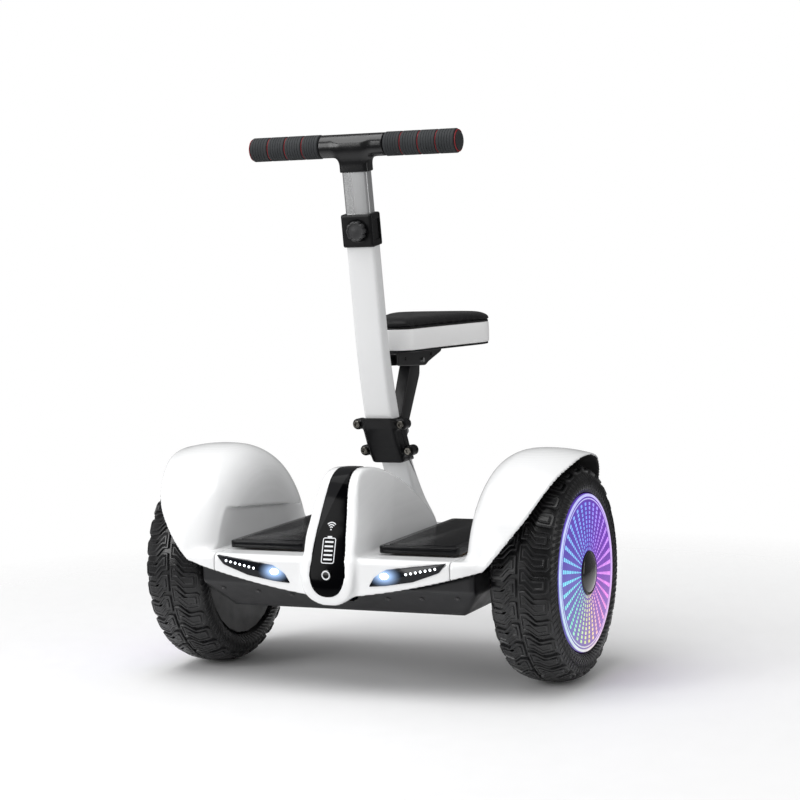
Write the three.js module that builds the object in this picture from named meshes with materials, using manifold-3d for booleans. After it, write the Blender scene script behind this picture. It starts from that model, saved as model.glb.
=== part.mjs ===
// Seated self-balancing scooter: two hub-motor wheels, a deck with foot pads, and a steering stem.
// Millimetres, +Z up, +X towards the right wheel as seen from the front, -Y towards the headlights.
// Heights in this file are measured from the ground; the last lines move the whole object down so
// that the origin is the centre of the flat underside of the lower pan.
import * as THREE from 'three';
import { mergeVertices } from 'three/addons/utils/BufferGeometryUtils.js';
import Module from 'manifold-3d';

const wasm = await Module();
wasm.setup();

// ---- driving dimensions ----
const GROUND_CLEARANCE = 88;
const GAP = 0.35;                 // room between neighbouring pieces
const TRACK = 445.5;              // distance between the wheels' middle planes
const TYRE_RADIUS = 127;
const TYRE_HALF_WIDTH = 40.2;
const RIM_RADIUS = 83.5;
const FLANGE_RADIUS = 91;
const COVER_RADIUS = 92;
const CAP_RADIUS = 23;
const AXLE_RADIUS = 8;
const AXLE_HEIGHT = TYRE_RADIUS;
const WHEEL_X = TRACK / 2;

const BODY_HALF_WIDTH = 149.8;    // where the body meets the fenders
const FENDER_HALF_WIDTH = 188;    // where the fender's front corner ends
const PAN_HALF_WIDTH = 174;
const BUMPER_Y = 144;
const DECK_TOP = 158.5;
const SHELL_WALL = 3;
const PAD_TOP = 167;
const PAD_CROWN = 2;
const PAD_HALF_LENGTH = 110;
const PAD_INNER_X = 47;
const PAD_OUTER_X = 147;
const PAD_TRAVEL = 1.5;
const FENDER_RADIUS = 144.5;
const FENDER_LIP_X = 265;

const LEAN_PIVOT_Z = 136;         // fore-and-aft steering axis
const LEAN_LIMIT = THREE.MathUtils.degToRad(10);
const SHAFT_RADIUS = 9;
const STEM_HALF_WIDTH = 17.5;

const POST_HALF_WIDTH = 18;
const POST_LEAN = THREE.MathUtils.degToRad(7.4);
const POST_TOP = { y: -20.5, z: 512 };   // a point on the handlebar tube's axis
const POST_HALF_DEPTH = 10.3;
const TUBE_HALF_WIDTH = 16;
const TUBE_HALF_DEPTH = 8.2;
const COLLAR_HEIGHT = 38;
const TUBE_BOTTOM = -70;          // along the tube's axis
const HANDLE_Z = 628.7;
const HANDLE_HALF_LENGTH = 136;
const GRIP_RADIUS = 14.2;
const GRIP_START = 41.5;

const ARM_PIN = { y: 58, z: 283 };       // seat arm on the bracket
const SEAT_PIN = { y: 107, z: 366 };     // seat bracket on the arm
const SEAT_BASE_Z = 381.5;
const SEAT_BAND_HEIGHT = 27;

// ---- materials ----
function finish(color, roughness, metalness = 0) {
  return new THREE.MeshStandardMaterial({ color, roughness, metalness });
}
const whiteShell = finish(0xf4f4f4, 0.25);
const glossBlack = finish(0x060607, 0.08);
const blackPlastic = finish(0x1b1b1c, 0.5);
const panPlastic = finish(0x2c2d2f, 0.55);
const padRubber = finish(0x141414, 0.45);
const tyreRubber = finish(0x1c1c1c, 0.75);
const aluminium = finish(0xa4a6a8, 0.35, 1);
const castAluminium = finish(0x8d8f92, 0.5, 1);
const steel = finish(0xb9babb, 0.3, 1);
const copper = finish(0xa8622f, 0.4, 0.9);
const lampBlack = finish(0x0b0c10, 0.06);
const redLamp = finish(0x9c1116, 0.15);
const lightCover = finish(0x8a5cf0, 0.2);
const whitePaint = finish(0xe4e4e4, 0.3);
const gripFoam = finish(0x3c4144, 0.9);
const batteryWrap = finish(0x2456a4, 0.45);
const boardGreen = finish(0x176b3a, 0.5);
const sensorFilm = finish(0xb98a2c, 0.4);
const seatLeather = finish(0x1e1e1f, 0.55);
const bandWhite = finish(0xe9e9e9, 0.4);

// ---- solids ----
function toSolid(geometry) {
  const bare = geometry.index ? geometry.toNonIndexed() : geometry.clone();
  for (const name of Object.keys(bare.attributes)) {
    if (name !== 'position') bare.deleteAttribute(name);
  }
  const merged = mergeVertices(bare, 1e-4);
  const corners = merged.attributes.position.array;
  const triangles = [];
  let volume = 0;
  const [a, b, c] = [new THREE.Vector3(), new THREE.Vector3(), new THREE.Vector3()];
  for (let i = 0; i < merged.index.count; i += 3) {
    const [p, q, r] = [0, 1, 2].map((k) => merged.index.getX(i + k));
    if (p === q || q === r || r === p) continue;
    triangles.push([p, q, r]);
    a.fromArray(corners, p * 3);
    b.fromArray(corners, q * 3);
    c.fromArray(corners, r * 3);
    volume += a.dot(b.cross(c));
  }
  const outward = volume > 0 ? triangles : triangles.map(([p, q, r]) => [p, r, q]);
  return new wasm.Manifold(new wasm.Mesh({
    numProp: 3,
    vertProperties: Float32Array.from(corners),
    triVerts: Uint32Array.from(outward.flat()),
  }));
}

function toGeometry(solid) {
  const mesh = solid.getMesh();
  const geometry = new THREE.BufferGeometry();
  geometry.setAttribute('position', new THREE.BufferAttribute(mesh.vertProperties, 3));
  geometry.setIndex(new THREE.BufferAttribute(mesh.triVerts, 1));
  geometry.computeVertexNormals();
  return geometry;
}

const join = (...solids) => solids.reduce((whole, next) => whole.add(next));
const cut = (body, ...tools) => tools.reduce((rest, tool) => rest.subtract(tool), body);
const shared = (...solids) => solids.reduce((whole, next) => whole.intersect(next));

// ---- outlines, as lists of [u, v] ----
const polygon = (points) => new THREE.Shape(points.map(([u, v]) => new THREE.Vector2(u, v)));

function roundedRectangle(u0, u1, v0, v1, radius) {
  const shape = new THREE.Shape();
  shape.moveTo(u0 + radius, v0);
  shape.lineTo(u1 - radius, v0);
  shape.absarc(u1 - radius, v0 + radius, radius, -Math.PI / 2, 0, false);
  shape.lineTo(u1, v1 - radius);
  shape.absarc(u1 - radius, v1 - radius, radius, 0, Math.PI / 2, false);
  shape.lineTo(u0 + radius, v1);
  shape.absarc(u0 + radius, v1 - radius, radius, Math.PI / 2, Math.PI, false);
  shape.lineTo(u0, v0 + radius);
  shape.absarc(u0 + radius, v0 + radius, radius, Math.PI, Math.PI * 1.5, false);
  return shape;
}

function disc(u, v, radius) {
  const shape = new THREE.Shape();
  shape.absarc(u, v, radius, 0, Math.PI * 2, false);
  return shape;
}

function smoothLine(points, count) {
  const curve = new THREE.SplineCurve(points.map(([u, v]) => new THREE.Vector2(u, v)));
  return curve.getPoints(count).map((p) => [p.x, p.y]);
}

function extrude(shape, from, to, matrix, segments) {
  const geometry = new THREE.ExtrudeGeometry(shape, {
    depth: to - from, bevelEnabled: false, curveSegments: segments,
  });
  geometry.translate(0, 0, from);
  return toSolid(geometry.applyMatrix4(matrix));
}

const axes = (x, y, z) => new THREE.Matrix4().makeBasis(
  new THREE.Vector3(...x), new THREE.Vector3(...y), new THREE.Vector3(...z));
const SIDE_VIEW = axes([0, 1, 0], [0, 0, 1], [1, 0, 0]);
const FRONT_VIEW = axes([1, 0, 0], [0, 0, 1], [0, -1, 0]);
const TOP_VIEW = new THREE.Matrix4();

// The outline holds (y, z) and the solid runs from x0 to x1, and so on for the other two.
const alongX = (shape, x0, x1, segments = 2) => extrude(shape, x0, x1, SIDE_VIEW, segments);
const alongY = (shape, y0, y1, segments = 2) => extrude(shape, -y1, -y0, FRONT_VIEW, segments);
const alongZ = (shape, z0, z1, segments = 2) => extrude(shape, z0, z1, TOP_VIEW, segments);

function box(x0, x1, y0, y1, z0, z1) {
  const geometry = new THREE.BoxGeometry(x1 - x0, y1 - y0, z1 - z0);
  return toSolid(geometry.translate((x0 + x1) / 2, (y0 + y1) / 2, (z0 + z1) / 2));
}

// A turned piece on an axis parallel to X. The profile holds (x, radius).
function turned(profile, y, z, segments = 24) {
  const points = profile.map(([x, radius]) => new THREE.Vector2(radius, x));
  const geometry = new THREE.LatheGeometry(points, segments);
  return toSolid(geometry.rotateZ(-Math.PI / 2).translate(0, y, z));
}
const ring = (profile) => [...profile, profile[0]];
const rodX = (x0, x1, y, z, radius, segments = 12) =>
  turned([[x0, 0], [x0, radius], [x1, radius], [x1, 0]], y, z, segments);

function rodY(y0, y1, x, z, radius, segments = 12) {
  const geometry = new THREE.CylinderGeometry(radius, radius, y1 - y0, segments);
  return toSolid(geometry.translate(x, (y0 + y1) / 2, z));
}

// ---- the scene graph ----
const scooter = new THREE.Group();

function addMesh(name, geometry, material) {
  const mesh = new THREE.Mesh(geometry, material);
  mesh.name = name;
  scooter.add(mesh);
}
const add = (name, solid, material) => addMesh(name, toGeometry(solid), material);

// A right-hand piece and its mirror image on the left.
function addPair(name, solid, material) {
  const right = toGeometry(solid);
  const left = right.clone().scale(-1, 1, 1);
  left.setIndex(Array.from(left.index.array).reverse());
  left.computeVertexNormals();
  addMesh(`${name}_right`, right, material);
  addMesh(`${name}_left`, left, material);
}

// ---- wheels ----
function wheelProfile(profile) {
  return profile.map(([outwards, radius]) => [WHEEL_X + outwards, radius]);
}

function buildTyre() {
  const half = [[30.5, 84.2], [30.5, 91.6], [37.5, 95], [TYRE_HALF_WIDTH, 107], [36.5, 119.5], [22, 125.8]];
  const inner = [[24, 115], [31, 104], [26, 84.2]];
  const outer = [...half, [0, TYRE_RADIUS], ...half.map(([w, r]) => [-w, r]).reverse()];
  const cavity = [...inner.map(([w, r]) => [-w, r]).reverse(), ...inner];
  return turned(wheelProfile(ring([...outer, ...cavity])), 0, AXLE_HEIGHT, 32);
}

function buildMotorDrum() {
  const profile = [[34, 0], [34, FLANGE_RADIUS], [31, FLANGE_RADIUS], [31, RIM_RADIUS],
    [-28.5, RIM_RADIUS], [-28.5, 79], [29, 79], [29, 19], [20, 19], [20, 14.5], [30, 14.5], [30, 0]];
  return turned(wheelProfile(profile), 0, AXLE_HEIGHT);
}

function buildMotorCover() {
  const profile = [[-34, 14.4], [-34, FLANGE_RADIUS], [-31, FLANGE_RADIUS], [-31, RIM_RADIUS],
    [-29, RIM_RADIUS], [-29, 19], [-24, 19], [-24, 14.4]];
  return turned(wheelProfile(ring(profile)), 0, AXLE_HEIGHT);
}

function buildBearing() {
  const profile = [[-33.5, AXLE_RADIUS + 0.4], [-33.5, 14], [-25, 14], [-25, AXLE_RADIUS + 0.4]];
  return turned(wheelProfile(ring(profile)), 0, AXLE_HEIGHT, 16);
}

function buildLightCover() {
  const profile = [[40.8, 0], [40.8, 26], [38, 89], [34.4, COVER_RADIUS], [34.4, 88], [36, 87],
    [38.8, 25], [38.8, 0]];
  return turned(wheelProfile(profile), 0, AXLE_HEIGHT, 28);
}

function buildHubCap() {
  const profile = [[44.6, 0], [44.2, 8], [43.2, 15.5], [41.8, 21], [41.1, CAP_RADIUS], [41.1, 0]];
  return turned(wheelProfile(profile), 0, AXLE_HEIGHT, 18);
}

function buildStator() {
  const TEETH = 12;
  const points = [];
  for (let tooth = 0; tooth < TEETH; tooth += 1) {
    const centre = (tooth / TEETH) * Math.PI * 2;
    for (const [angle, radius] of [[-0.1, 52], [-0.1, 72], [0.1, 72], [0.1, 52]]) {
      const spread = radius > 60 ? 2 : 1;
      points.push([Math.cos(centre + angle * spread) * radius, Math.sin(centre + angle * spread) * radius]);
    }
  }
  const shape = polygon(points.map(([y, z]) => [y, z + AXLE_HEIGHT]));
  shape.holes.push(disc(0, AXLE_HEIGHT, AXLE_RADIUS + GAP));
  return alongX(shape, WHEEL_X - 18, WHEEL_X + 16, 6);
}

function buildAxle() {
  const inner = rodX(112, WHEEL_X + 29, 0, AXLE_HEIGHT, AXLE_RADIUS, 16);
  const flats = [box(105, 146, -20, 20, AXLE_HEIGHT + 6.5, AXLE_HEIGHT + 20),
    box(105, 146, -20, 20, AXLE_HEIGHT - 20, AXLE_HEIGHT - 6.5)];
  return cut(inner, ...flats);
}

// ---- body ----
// Lower edge of the white body in front view: a shallow V that rises towards the wheels.
const lowerEdge = (x) => 112 + 36 * (Math.abs(x) / FENDER_HALF_WIDTH) ** 1.5;

function underEdge(x0, x1, top, drop) {
  const STEPS = 10;
  const points = [[x0, top], [x1, top]];
  for (let step = STEPS; step >= 0; step -= 1) {
    const x = x0 + ((x1 - x0) * step) / STEPS;
    points.push([x, lowerEdge(x) + drop]);
  }
  return polygon(points);
}

function bodySection(inset) {
  const face = BUMPER_Y - inset;
  const deck = DECK_TOP - inset;
  const half = [[face - 8, 90], [face - 2, 118], [face, 138], [face, 152], [face - 4, deck - 2],
    [face - 10, deck]];
  const front = half.map(([y, z]) => [-y, z]);
  return polygon([...front, ...half.reverse()]);
}

function buildBodyBlock(x0, x1, inset) {
  const drop = inset > 0 ? -30 : 0;
  return shared(alongX(bodySection(inset), x0, x1), alongY(underEdge(x0, x1, 200, drop), -160, 160));
}

// Front face of the hump and console, from its round bottom to its top, as (y, z).
const CONSOLE_LINE = smoothLine([[-147, 104], [-151.5, 122], [-148, 146], [-138, 178], [-127, 203],
  [-116, 228], [-104, 246], [-86, 254.5], [-62, 256]], 14);
// Crest of the hump behind the console, down to the deck.
const CREST_LINE = smoothLine([[-62, 256], [-28, 248], [17, 226], [58, 196], [82, 172], [96, 150]], 8);

function offsetLine(line, inset) {
  return line.map(([y, z], index) => {
    const before = line[Math.max(index - 1, 0)];
    const after = line[Math.min(index + 1, line.length - 1)];
    const [dy, dz] = [after[0] - before[0], after[1] - before[1]];
    const length = Math.hypot(dy, dz);
    return [y + (dz / length) * inset, z - (dy / length) * inset];
  });
}

// Half-width of the hump at a height, at its front rim and further back.
function humpHalfWidth(z, back, inset) {
  const fall = Math.max(0, 256 - z);
  const rimTop = 20 + 12 * Math.min(1, fall / 80) ** 0.8;
  const bulb = z < 132 ? 32 * Math.sqrt(Math.max(0, 1 - ((132 - z) / 29.5) ** 2)) : 32;
  const sideWall = 28 + 17 * Math.min(1, fall / 90) ** 0.7;
  const blend = Math.min(1, back / 60) ** 0.6;
  const rim = Math.min(rimTop, bulb);
  return Math.max(0.5, rim + (sideWall - rim) * blend - inset);
}

function loft(rings) {
  const positions = [];
  const size = rings[0].length;
  const push = (...points) => points.forEach((p) => positions.push(...p));
  for (let row = 0; row + 1 < rings.length; row += 1) {
    for (let i = 0; i < size; i += 1) {
      const next = (i + 1) % size;
      const [a, b, c, d] = [rings[row][i], rings[row][next], rings[row + 1][next], rings[row + 1][i]];
      push(a, b, c, a, c, d);
    }
  }
  const middle = (points) => [0, 1, 2].map((k) => points.reduce((sum, p) => sum + p[k], 0) / size);
  const [first, last] = [rings[0], rings[rings.length - 1]];
  for (let i = 0; i < size; i += 1) {
    const next = (i + 1) % size;
    push(middle(first), first[next], first[i]);
    push(middle(last), last[i], last[next]);
  }
  const geometry = new THREE.BufferGeometry();
  geometry.setAttribute('position', new THREE.Float32BufferAttribute(positions, 3));
  return toSolid(geometry);
}

// Widths of the hump as a set of upright slices across the object, each parallel to its front face.
function buildHumpBlock(inset) {
  const HEIGHTS = [103 + inset, 109, 119, 134, 170, 210, 240, 257 - inset];
  const slices = [-10, 15, 60, 290].map((back) => {
    const side = HEIGHTS.map((z) => {
      const front = CONSOLE_LINE.reduce((best, p) => (Math.abs(p[1] - z) < Math.abs(best[1] - z) ? p : best));
      return [humpHalfWidth(z, Math.max(back, 0), inset), front[0] + back, z];
    });
    return [...side, ...side.map(([x, y, z]) => [-x, y, z]).reverse()];
  });
  const silhouette = [...offsetLine(CONSOLE_LINE, inset), ...offsetLine(CREST_LINE, inset).slice(1)];
  const bottom = inset > 0 ? 90 : 104;
  const closed = polygon([...silhouette, [96 - inset, bottom], [-147 + inset, bottom]]);
  return shared(loft(slices), alongX(closed, -60, 60));
}

function buildLowerLobe(inset) {
  const lobe = roundedRectangle(-32 + inset, 32 - inset, 103.2 + inset, 175, 28);
  return shared(alongY(lobe, -152, -118, 3), buildHumpBlock(inset));
}

// The opening that lets the stem lean: a V about the steering axis, behind the stem's front edge.
function buildStemSlot() {
  const reach = 130;
  const side = STEM_HALF_WIDTH + 1.5;
  const spread = reach * Math.tan(LEAN_LIMIT) + 1;
  const wedge = polygon([[-side - 1, LEAN_PIVOT_Z - 16], [side + 1, LEAN_PIVOT_Z - 16],
    [side + spread, LEAN_PIVOT_Z + reach], [-side - spread, LEAN_PIVOT_Z + reach]]);
  const behind = polygon([[84, 118], [84, 168], [52, 213], [30, 262], [132.5, 262], [132.5, 118]]);
  return shared(alongY(wedge, 20, 140), alongX(behind, -70, 70));
}

const panelOutline = (grow) => polygon([
  ...smoothLine([[0, 107.5 - grow], [13, 111 - grow], [21.5 + grow, 124], [23.5 + grow, 137],
    [21.5 + grow, 160], [17.5 + grow, 200], [13.5 + grow, 228], [11.5 + grow, 258 + grow]], 11),
  ...smoothLine([[0, 107.5 - grow], [-13, 111 - grow], [-21.5 - grow, 124], [-23.5 - grow, 137],
    [-21.5 - grow, 160], [-17.5 - grow, 200], [-13.5 - grow, 228], [-11.5 - grow, 258 + grow]], 11)
    .reverse().slice(0, -1),
]);

function panelBand(outer, inner) {
  return polygon([...offsetLine(CONSOLE_LINE, outer), ...offsetLine(CONSOLE_LINE, inner).reverse()]);
}
const BUTTON = { y: -149, z: 139.5, radius: 6.3, travel: 1.2 };
const buildPanelRecess = () =>
  shared(alongY(panelOutline(GAP), -160, -75), alongX(panelBand(-3, 2.8), -40, 40));

function buildConsolePanel() {
  const plate = shared(alongY(panelOutline(0), -160, -75.5), alongX(panelBand(0.2, 2.4), -40, 40));
  return cut(plate, rodY(-160, -140, 0, BUTTON.z, BUTTON.radius + 0.5, 16));
}

const buildPowerButton = () => rodY(BUTTON.y - 2, BUTTON.y + 1.6, 0, BUTTON.z, BUTTON.radius, 16);

function lampOutline(grow) {
  return polygon([[146 + 2 * grow, 157 + grow], [72, 147.5 + grow], [57, 138 + grow], [50 - 2 * grow, 127 - grow],
    [72, 129 - grow], [105, 134.5 - grow], [137 + grow, 146 - grow]]);
}
const buildHeadlight = () => alongY(lampOutline(0), -BUMPER_Y + 0.4, -BUMPER_Y + 12);

function padOutline(grow) {
  return roundedRectangle(PAD_INNER_X - grow, PAD_OUTER_X + grow, -PAD_HALF_LENGTH - grow,
    PAD_HALF_LENGTH + grow, 7);
}

function buildTopShell() {
  const white = join(buildBodyBlock(-BODY_HALF_WIDTH, BODY_HALF_WIDTH, 0), buildHumpBlock(0), buildLowerLobe(0));
  const hollow = join(buildBodyBlock(-BODY_HALF_WIDTH + SHELL_WALL, BODY_HALF_WIDTH - SHELL_WALL, SHELL_WALL),
    buildHumpBlock(SHELL_WALL + 0.5));
  const seats = [1, -1].flatMap((side) => {
    const lamp = alongY(lampOutline(0.3), -160, -BUMPER_Y + 12.4);
    const pad = alongZ(padOutline(0.5), DECK_TOP - 1.3, 190);
    return side > 0 ? [lamp, pad] : [mirror(lamp), mirror(pad)];
  });
  const axleDoors = box(-170, 170, -24, 24, 100, AXLE_HEIGHT + 22.5);
  const rear = [rodY(120, 160, CHARGER.x, CHARGER.z, CHARGER.radius + 0.5, 14),
    box(-TAIL_LIGHT.halfWidth - GAP, TAIL_LIGHT.halfWidth + GAP, 120, 160,
      TAIL_LIGHT.low - GAP, TAIL_LIGHT.high + GAP)];
  const shell = cut(white, hollow, ...seats, axleDoors, ...rear, buildStemSlot(), buildPanelRecess());
  const behindButton = rodY(-160, -120, 0, BUTTON.z, BUTTON.radius + 0.5, 12);
  return largest(cut(shell, behindButton));
}

function mirror(solid) {
  return toSolid(toGeometry(solid).scale(-1, 1, 1));
}

function largest(solid) {
  return solid.decompose().reduce((best, piece) => (piece.volume() > best.volume() ? piece : best));
}

const CHARGER = { x: 96, z: 134, radius: 8 };
const TAIL_LIGHT = { halfWidth: 62, low: 128, high: 138 };

function buildFender() {
  const dome = [[152, 0], [152, 96], [155, 114], [168, 134], [195, 143.6], [218, FENDER_RADIUS],
    [242, 142.6], [FENDER_LIP_X, 138.5], [FENDER_LIP_X, 135.4], [242, 139.4], [218, 141.3], [196, 140.4], [170, 131],
    [158.3, 113],
    [155.2, 96], [155.2, 0]];
  const arch = turned(dome, 0, AXLE_HEIGHT, 36);
  const keepAbove = alongY(underEdge(140, FENDER_LIP_X + 5, 300, 0), -200, 200);
  const corner = buildBodyBlock(BODY_HALF_WIDTH + GAP, FENDER_HALF_WIDTH, 0);
  const cornerHollow = buildBodyBlock(BODY_HALF_WIDTH - 5, FENDER_HALF_WIDTH - SHELL_WALL, SHELL_WALL);
  const wheelRoom = rodX(159, 300, 0, AXLE_HEIGHT, 136, 36);
  const underDome = rodX(140, 300, 0, AXLE_HEIGHT, 138.5, 36);
  const frontEdge = [[195, 140], [195, 154], [210, 173], [221, 188], [234, 205], [246, 229], [254, 246],
    [262, 254], [FENDER_LIP_X, 265]];
  const openSide = alongY(polygon([...frontEdge, [FENDER_LIP_X, 300], [300, 300], [300, 100], [195, 100]]),
    -200, 200);
  const ledge = cut(corner, cornerHollow, underDome);
  const axleDoor = box(140, 170, -24, 24, 90, AXLE_HEIGHT + 22.5);
  const insideBody = box(100, BODY_HALF_WIDTH + GAP, -200, 200, 0, 300);
  const whole = join(shared(arch, keepAbove), cut(ledge, wheelRoom));
  const panTop = box(140, PAN_HALF_WIDTH + 0.4, -132, 132, 0, 149.5);
  return largest(cut(whole, openSide, axleDoor, insideBody, cut(panTop, box(130, 180, -200, 200, 138, 150))));
}

function buildLowerPan() {
  const profile = (inset) => polygon([[-132 + inset, 160], [-132 + inset, 122], [-98 + inset, 88 + inset],
    [98 - inset, 88 + inset], [132 - inset, 122], [132 - inset, 160]]);
  const ends = (inset) => polygon([[-PAN_HALF_WIDTH + inset, 160], [-PAN_HALF_WIDTH + inset, 119],
    [-148 + inset, 88 + inset], [148 - inset, 88 + inset], [PAN_HALF_WIDTH - inset, 119],
    [PAN_HALF_WIDTH - inset, 160]]);
  const block = (inset) => shared(alongX(profile(inset), -180, 180), alongY(ends(inset), -150, 150));
  const above = alongY(underEdge(-180, 180, 220, -0.6), -200, 200);
  const lobe = alongY(roundedRectangle(-33.5, 33.5, 101.5, 190, 29), -160, -110, 8);
  const shaftRoom = box(-190, 190, -24, 24, 104, 200);
  return largest(cut(block(0), block(SHELL_WALL), above, lobe, shaftRoom));
}

function buildChassisFrame() {
  const plate = alongZ(roundedRectangle(-140, 140, -92, 92, 12), 113, 116.5);
  const saddle = (side) => cut(box(side > 0 ? 114 : -144, side > 0 ? 144 : -114, -22, 22, 113, AXLE_HEIGHT - GAP),
    rodX(-200, 200, 0, AXLE_HEIGHT, AXLE_RADIUS + 0.5, 16));
  const pedestal = cut(box(-26, 26, 44, 74, 113, 152),
    rodY(30, 90, 0, LEAN_PIVOT_Z, SHAFT_RADIUS + GAP, 20));
  const posts = [[-100, -70], [-100, 70], [100, -70], [100, 70]].map(([x, y]) =>
    box(x - 7, x + 7, y - 7, y + 7, 113, DECK_TOP - 4.8));
  return join(plate, saddle(1), saddle(-1), pedestal, ...posts);
}

function buildAxleClamp() {
  const block = box(114, 144, -22, 22, AXLE_HEIGHT + GAP, AXLE_HEIGHT + 20);
  return cut(block, rodX(100, 160, 0, AXLE_HEIGHT, AXLE_RADIUS + 0.5, 16));
}

function buildBattery() {
  const cells = [-56, -28, 0, 28, 56].map((y) => rodX(-132, -12, y, 101.5, 9.2, 10));
  return join(alongZ(roundedRectangle(-134, -10, -72, 72, 8), 93, 102), ...cells);
}

function buildControlBoard() {
  const board = box(14, 130, -66, 66, 96, 98);
  const parts = [[30, -40, 9], [62, -44, 12], [94, -36, 8], [40, 20, 10], [84, 30, 13], [112, 10, 7]];
  return join(board, ...parts.map(([x, y, height]) => box(x - 9, x + 9, y - 8, y + 8, 97, 98 + height)));
}

const buildFootSensor = () =>
  alongZ(roundedRectangle(PAD_INNER_X + 6, PAD_OUTER_X - 6, -88, 88, 5), DECK_TOP - 1, DECK_TOP - 0.4);

function buildFootPad() {
  const low = DECK_TOP + PAD_TRAVEL;
  const top = smoothLine([[-PAD_HALF_LENGTH, PAD_TOP], [0, PAD_TOP + PAD_CROWN], [PAD_HALF_LENGTH, PAD_TOP]], 8);
  const section = polygon([[-PAD_HALF_LENGTH, low], ...top, [PAD_HALF_LENGTH, low]]);
  return shared(alongX(section, PAD_INNER_X - 5, PAD_OUTER_X + 5), alongZ(padOutline(0), 100, 200));
}

const buildTailLight = () => box(-TAIL_LIGHT.halfWidth, TAIL_LIGHT.halfWidth, 134, BUMPER_Y + 0.4,
  TAIL_LIGHT.low, TAIL_LIGHT.high);
const buildChargePort = () => cut(rodY(126, BUMPER_Y + 0.2, CHARGER.x, CHARGER.z, CHARGER.radius, 14),
  rodY(132, BUMPER_Y + 5, CHARGER.x, CHARGER.z, CHARGER.radius - 2.5, 14));
const buildChargeCap = () => alongY(roundedRectangle(CHARGER.x - 10, CHARGER.x + 10, CHARGER.z - 11,
  CHARGER.z + 12, 6), BUMPER_Y + 0.7, BUMPER_Y + 3);

// ---- steering stem ----
function buildStemShaft() {
  return rodY(36, 129, 0, LEAN_PIVOT_Z, SHAFT_RADIUS, 20);
}

function buildLowerStem() {
  const front = smoothLine([[88, 124], [88, 166], [66, 206], [44, 246], [35, 268]], 7);
  const rear = smoothLine([[53, 268], [64, 244], [81, 219], [98, 197], [121, 174], [130, 160], [130, 124]], 9);
  const blade = alongX(polygon([...front, ...rear]), -STEM_HALF_WIDTH, STEM_HALF_WIDTH);
  return cut(blade, rodY(80, 129.6, 0, LEAN_PIVOT_Z, SHAFT_RADIUS + GAP, 20));
}

// Middle line and half-depth of the post and the bracket, as [z, y, half-depth].
const POST_SECTIONS = [[294, 18.5, 12.6], [316, 12.4, 12.5], [346, 4.6, 11.6], [385, -3.6, 10.6],
  [423, -8.8, 10.3], [462, -14, POST_HALF_DEPTH]];

// Turns (depth, height) on the handlebar tube's axis into (y, z).
function onTube(depth, height) {
  const [s, c] = [Math.sin(POST_LEAN), Math.cos(POST_LEAN)];
  return [POST_TOP.y + depth * c - height * s, POST_TOP.z + depth * s + height * c];
}

function postOutline(wall, bottom) {
  const sections = POST_SECTIONS.filter(([z]) => z >= bottom);
  const front = sections.map(([z, y, half]) => [y - half + wall, z]);
  const rear = sections.map(([z, y, half]) => [y + half - wall, z]).reverse();
  const half = POST_HALF_DEPTH - wall;
  const head = wall > 0 ? 20 : 6;
  return polygon([...front, onTube(-half, -6), onTube(-half, head), onTube(half, head), onTube(half, -6), ...rear]);
}

function buildOuterPost() {
  const WALL = 1.6;
  const shell = cut(alongX(postOutline(0, 290), -POST_HALF_WIDTH, POST_HALF_WIDTH),
    alongX(postOutline(WALL, 340), -POST_HALF_WIDTH + WALL, POST_HALF_WIDTH - WALL));
  const [stopY, stopZ] = onTube(0, TUBE_BOTTOM - 4);
  const crossbar = rodX(-POST_HALF_WIDTH + 0.8, POST_HALF_WIDTH - 0.8, stopY, stopZ, 3, 10);
  return join(shell, crossbar);   // the handlebar tube stands on the crossbar at its lowest setting
}

// A solid on the tube's axis: the outline holds (x, depth), heights run along the axis.
function onTubeAxis(shape, from, to, segments = 2) {
  const place = new THREE.Matrix4().makeRotationX(POST_LEAN);
  place.setPosition(0, POST_TOP.y, POST_TOP.z);
  return extrude(shape, from, to, place, segments);
}

function buildCollar() {
  const outside = onTubeAxis(roundedRectangle(-20.5, 20.5, -14.5, 12.5, 4), -1, COLLAR_HEIGHT);
  const post = onTubeAxis(roundedRectangle(-POST_HALF_WIDTH - GAP, POST_HALF_WIDTH + GAP,
    -POST_HALF_DEPTH - GAP, POST_HALF_DEPTH + GAP, 1), -10, 6.5);
  const tube = onTubeAxis(roundedRectangle(-TUBE_HALF_WIDTH - GAP, TUBE_HALF_WIDTH + GAP,
    -TUBE_HALF_DEPTH - GAP, TUBE_HALF_DEPTH + GAP, 2), -10, COLLAR_HEIGHT + 5);
  const split = onTubeAxis(polygon([[15, 6], [30, 6], [30, 8.5], [15, 8.5]]), -10, COLLAR_HEIGHT + 5);
  return cut(outside, post, tube, split, knobRod(3.3, -30, -2));
}

// A round bar on the clamp screw's axis, square to the collar's front face.
const KNOB = { x: 1, height: 19, radius: 12, front: -22.4, back: -15.1 };
function knobRod(radius, from, to, shape = disc(KNOB.x, KNOB.height, radius)) {
  const place = new THREE.Matrix4().makeRotationX(POST_LEAN);
  place.setPosition(0, POST_TOP.y, POST_TOP.z);
  return extrude(shape, -to, -from, place.multiply(FRONT_VIEW), 6);
}

function buildClampKnob() {
  const LOBES = 10;
  const points = [];
  for (let step = 0; step < LOBES * 2; step += 1) {
    const angle = (step / (LOBES * 2)) * Math.PI * 2;
    const radius = KNOB.radius - 0.6 + 0.6 * Math.cos(angle * LOBES);
    points.push([KNOB.x + Math.cos(angle) * radius, KNOB.height + Math.sin(angle) * radius]);
  }
  return join(knobRod(0, KNOB.front, KNOB.back, polygon(points)), knobRod(2.9, KNOB.back - 1, -9));
}

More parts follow.
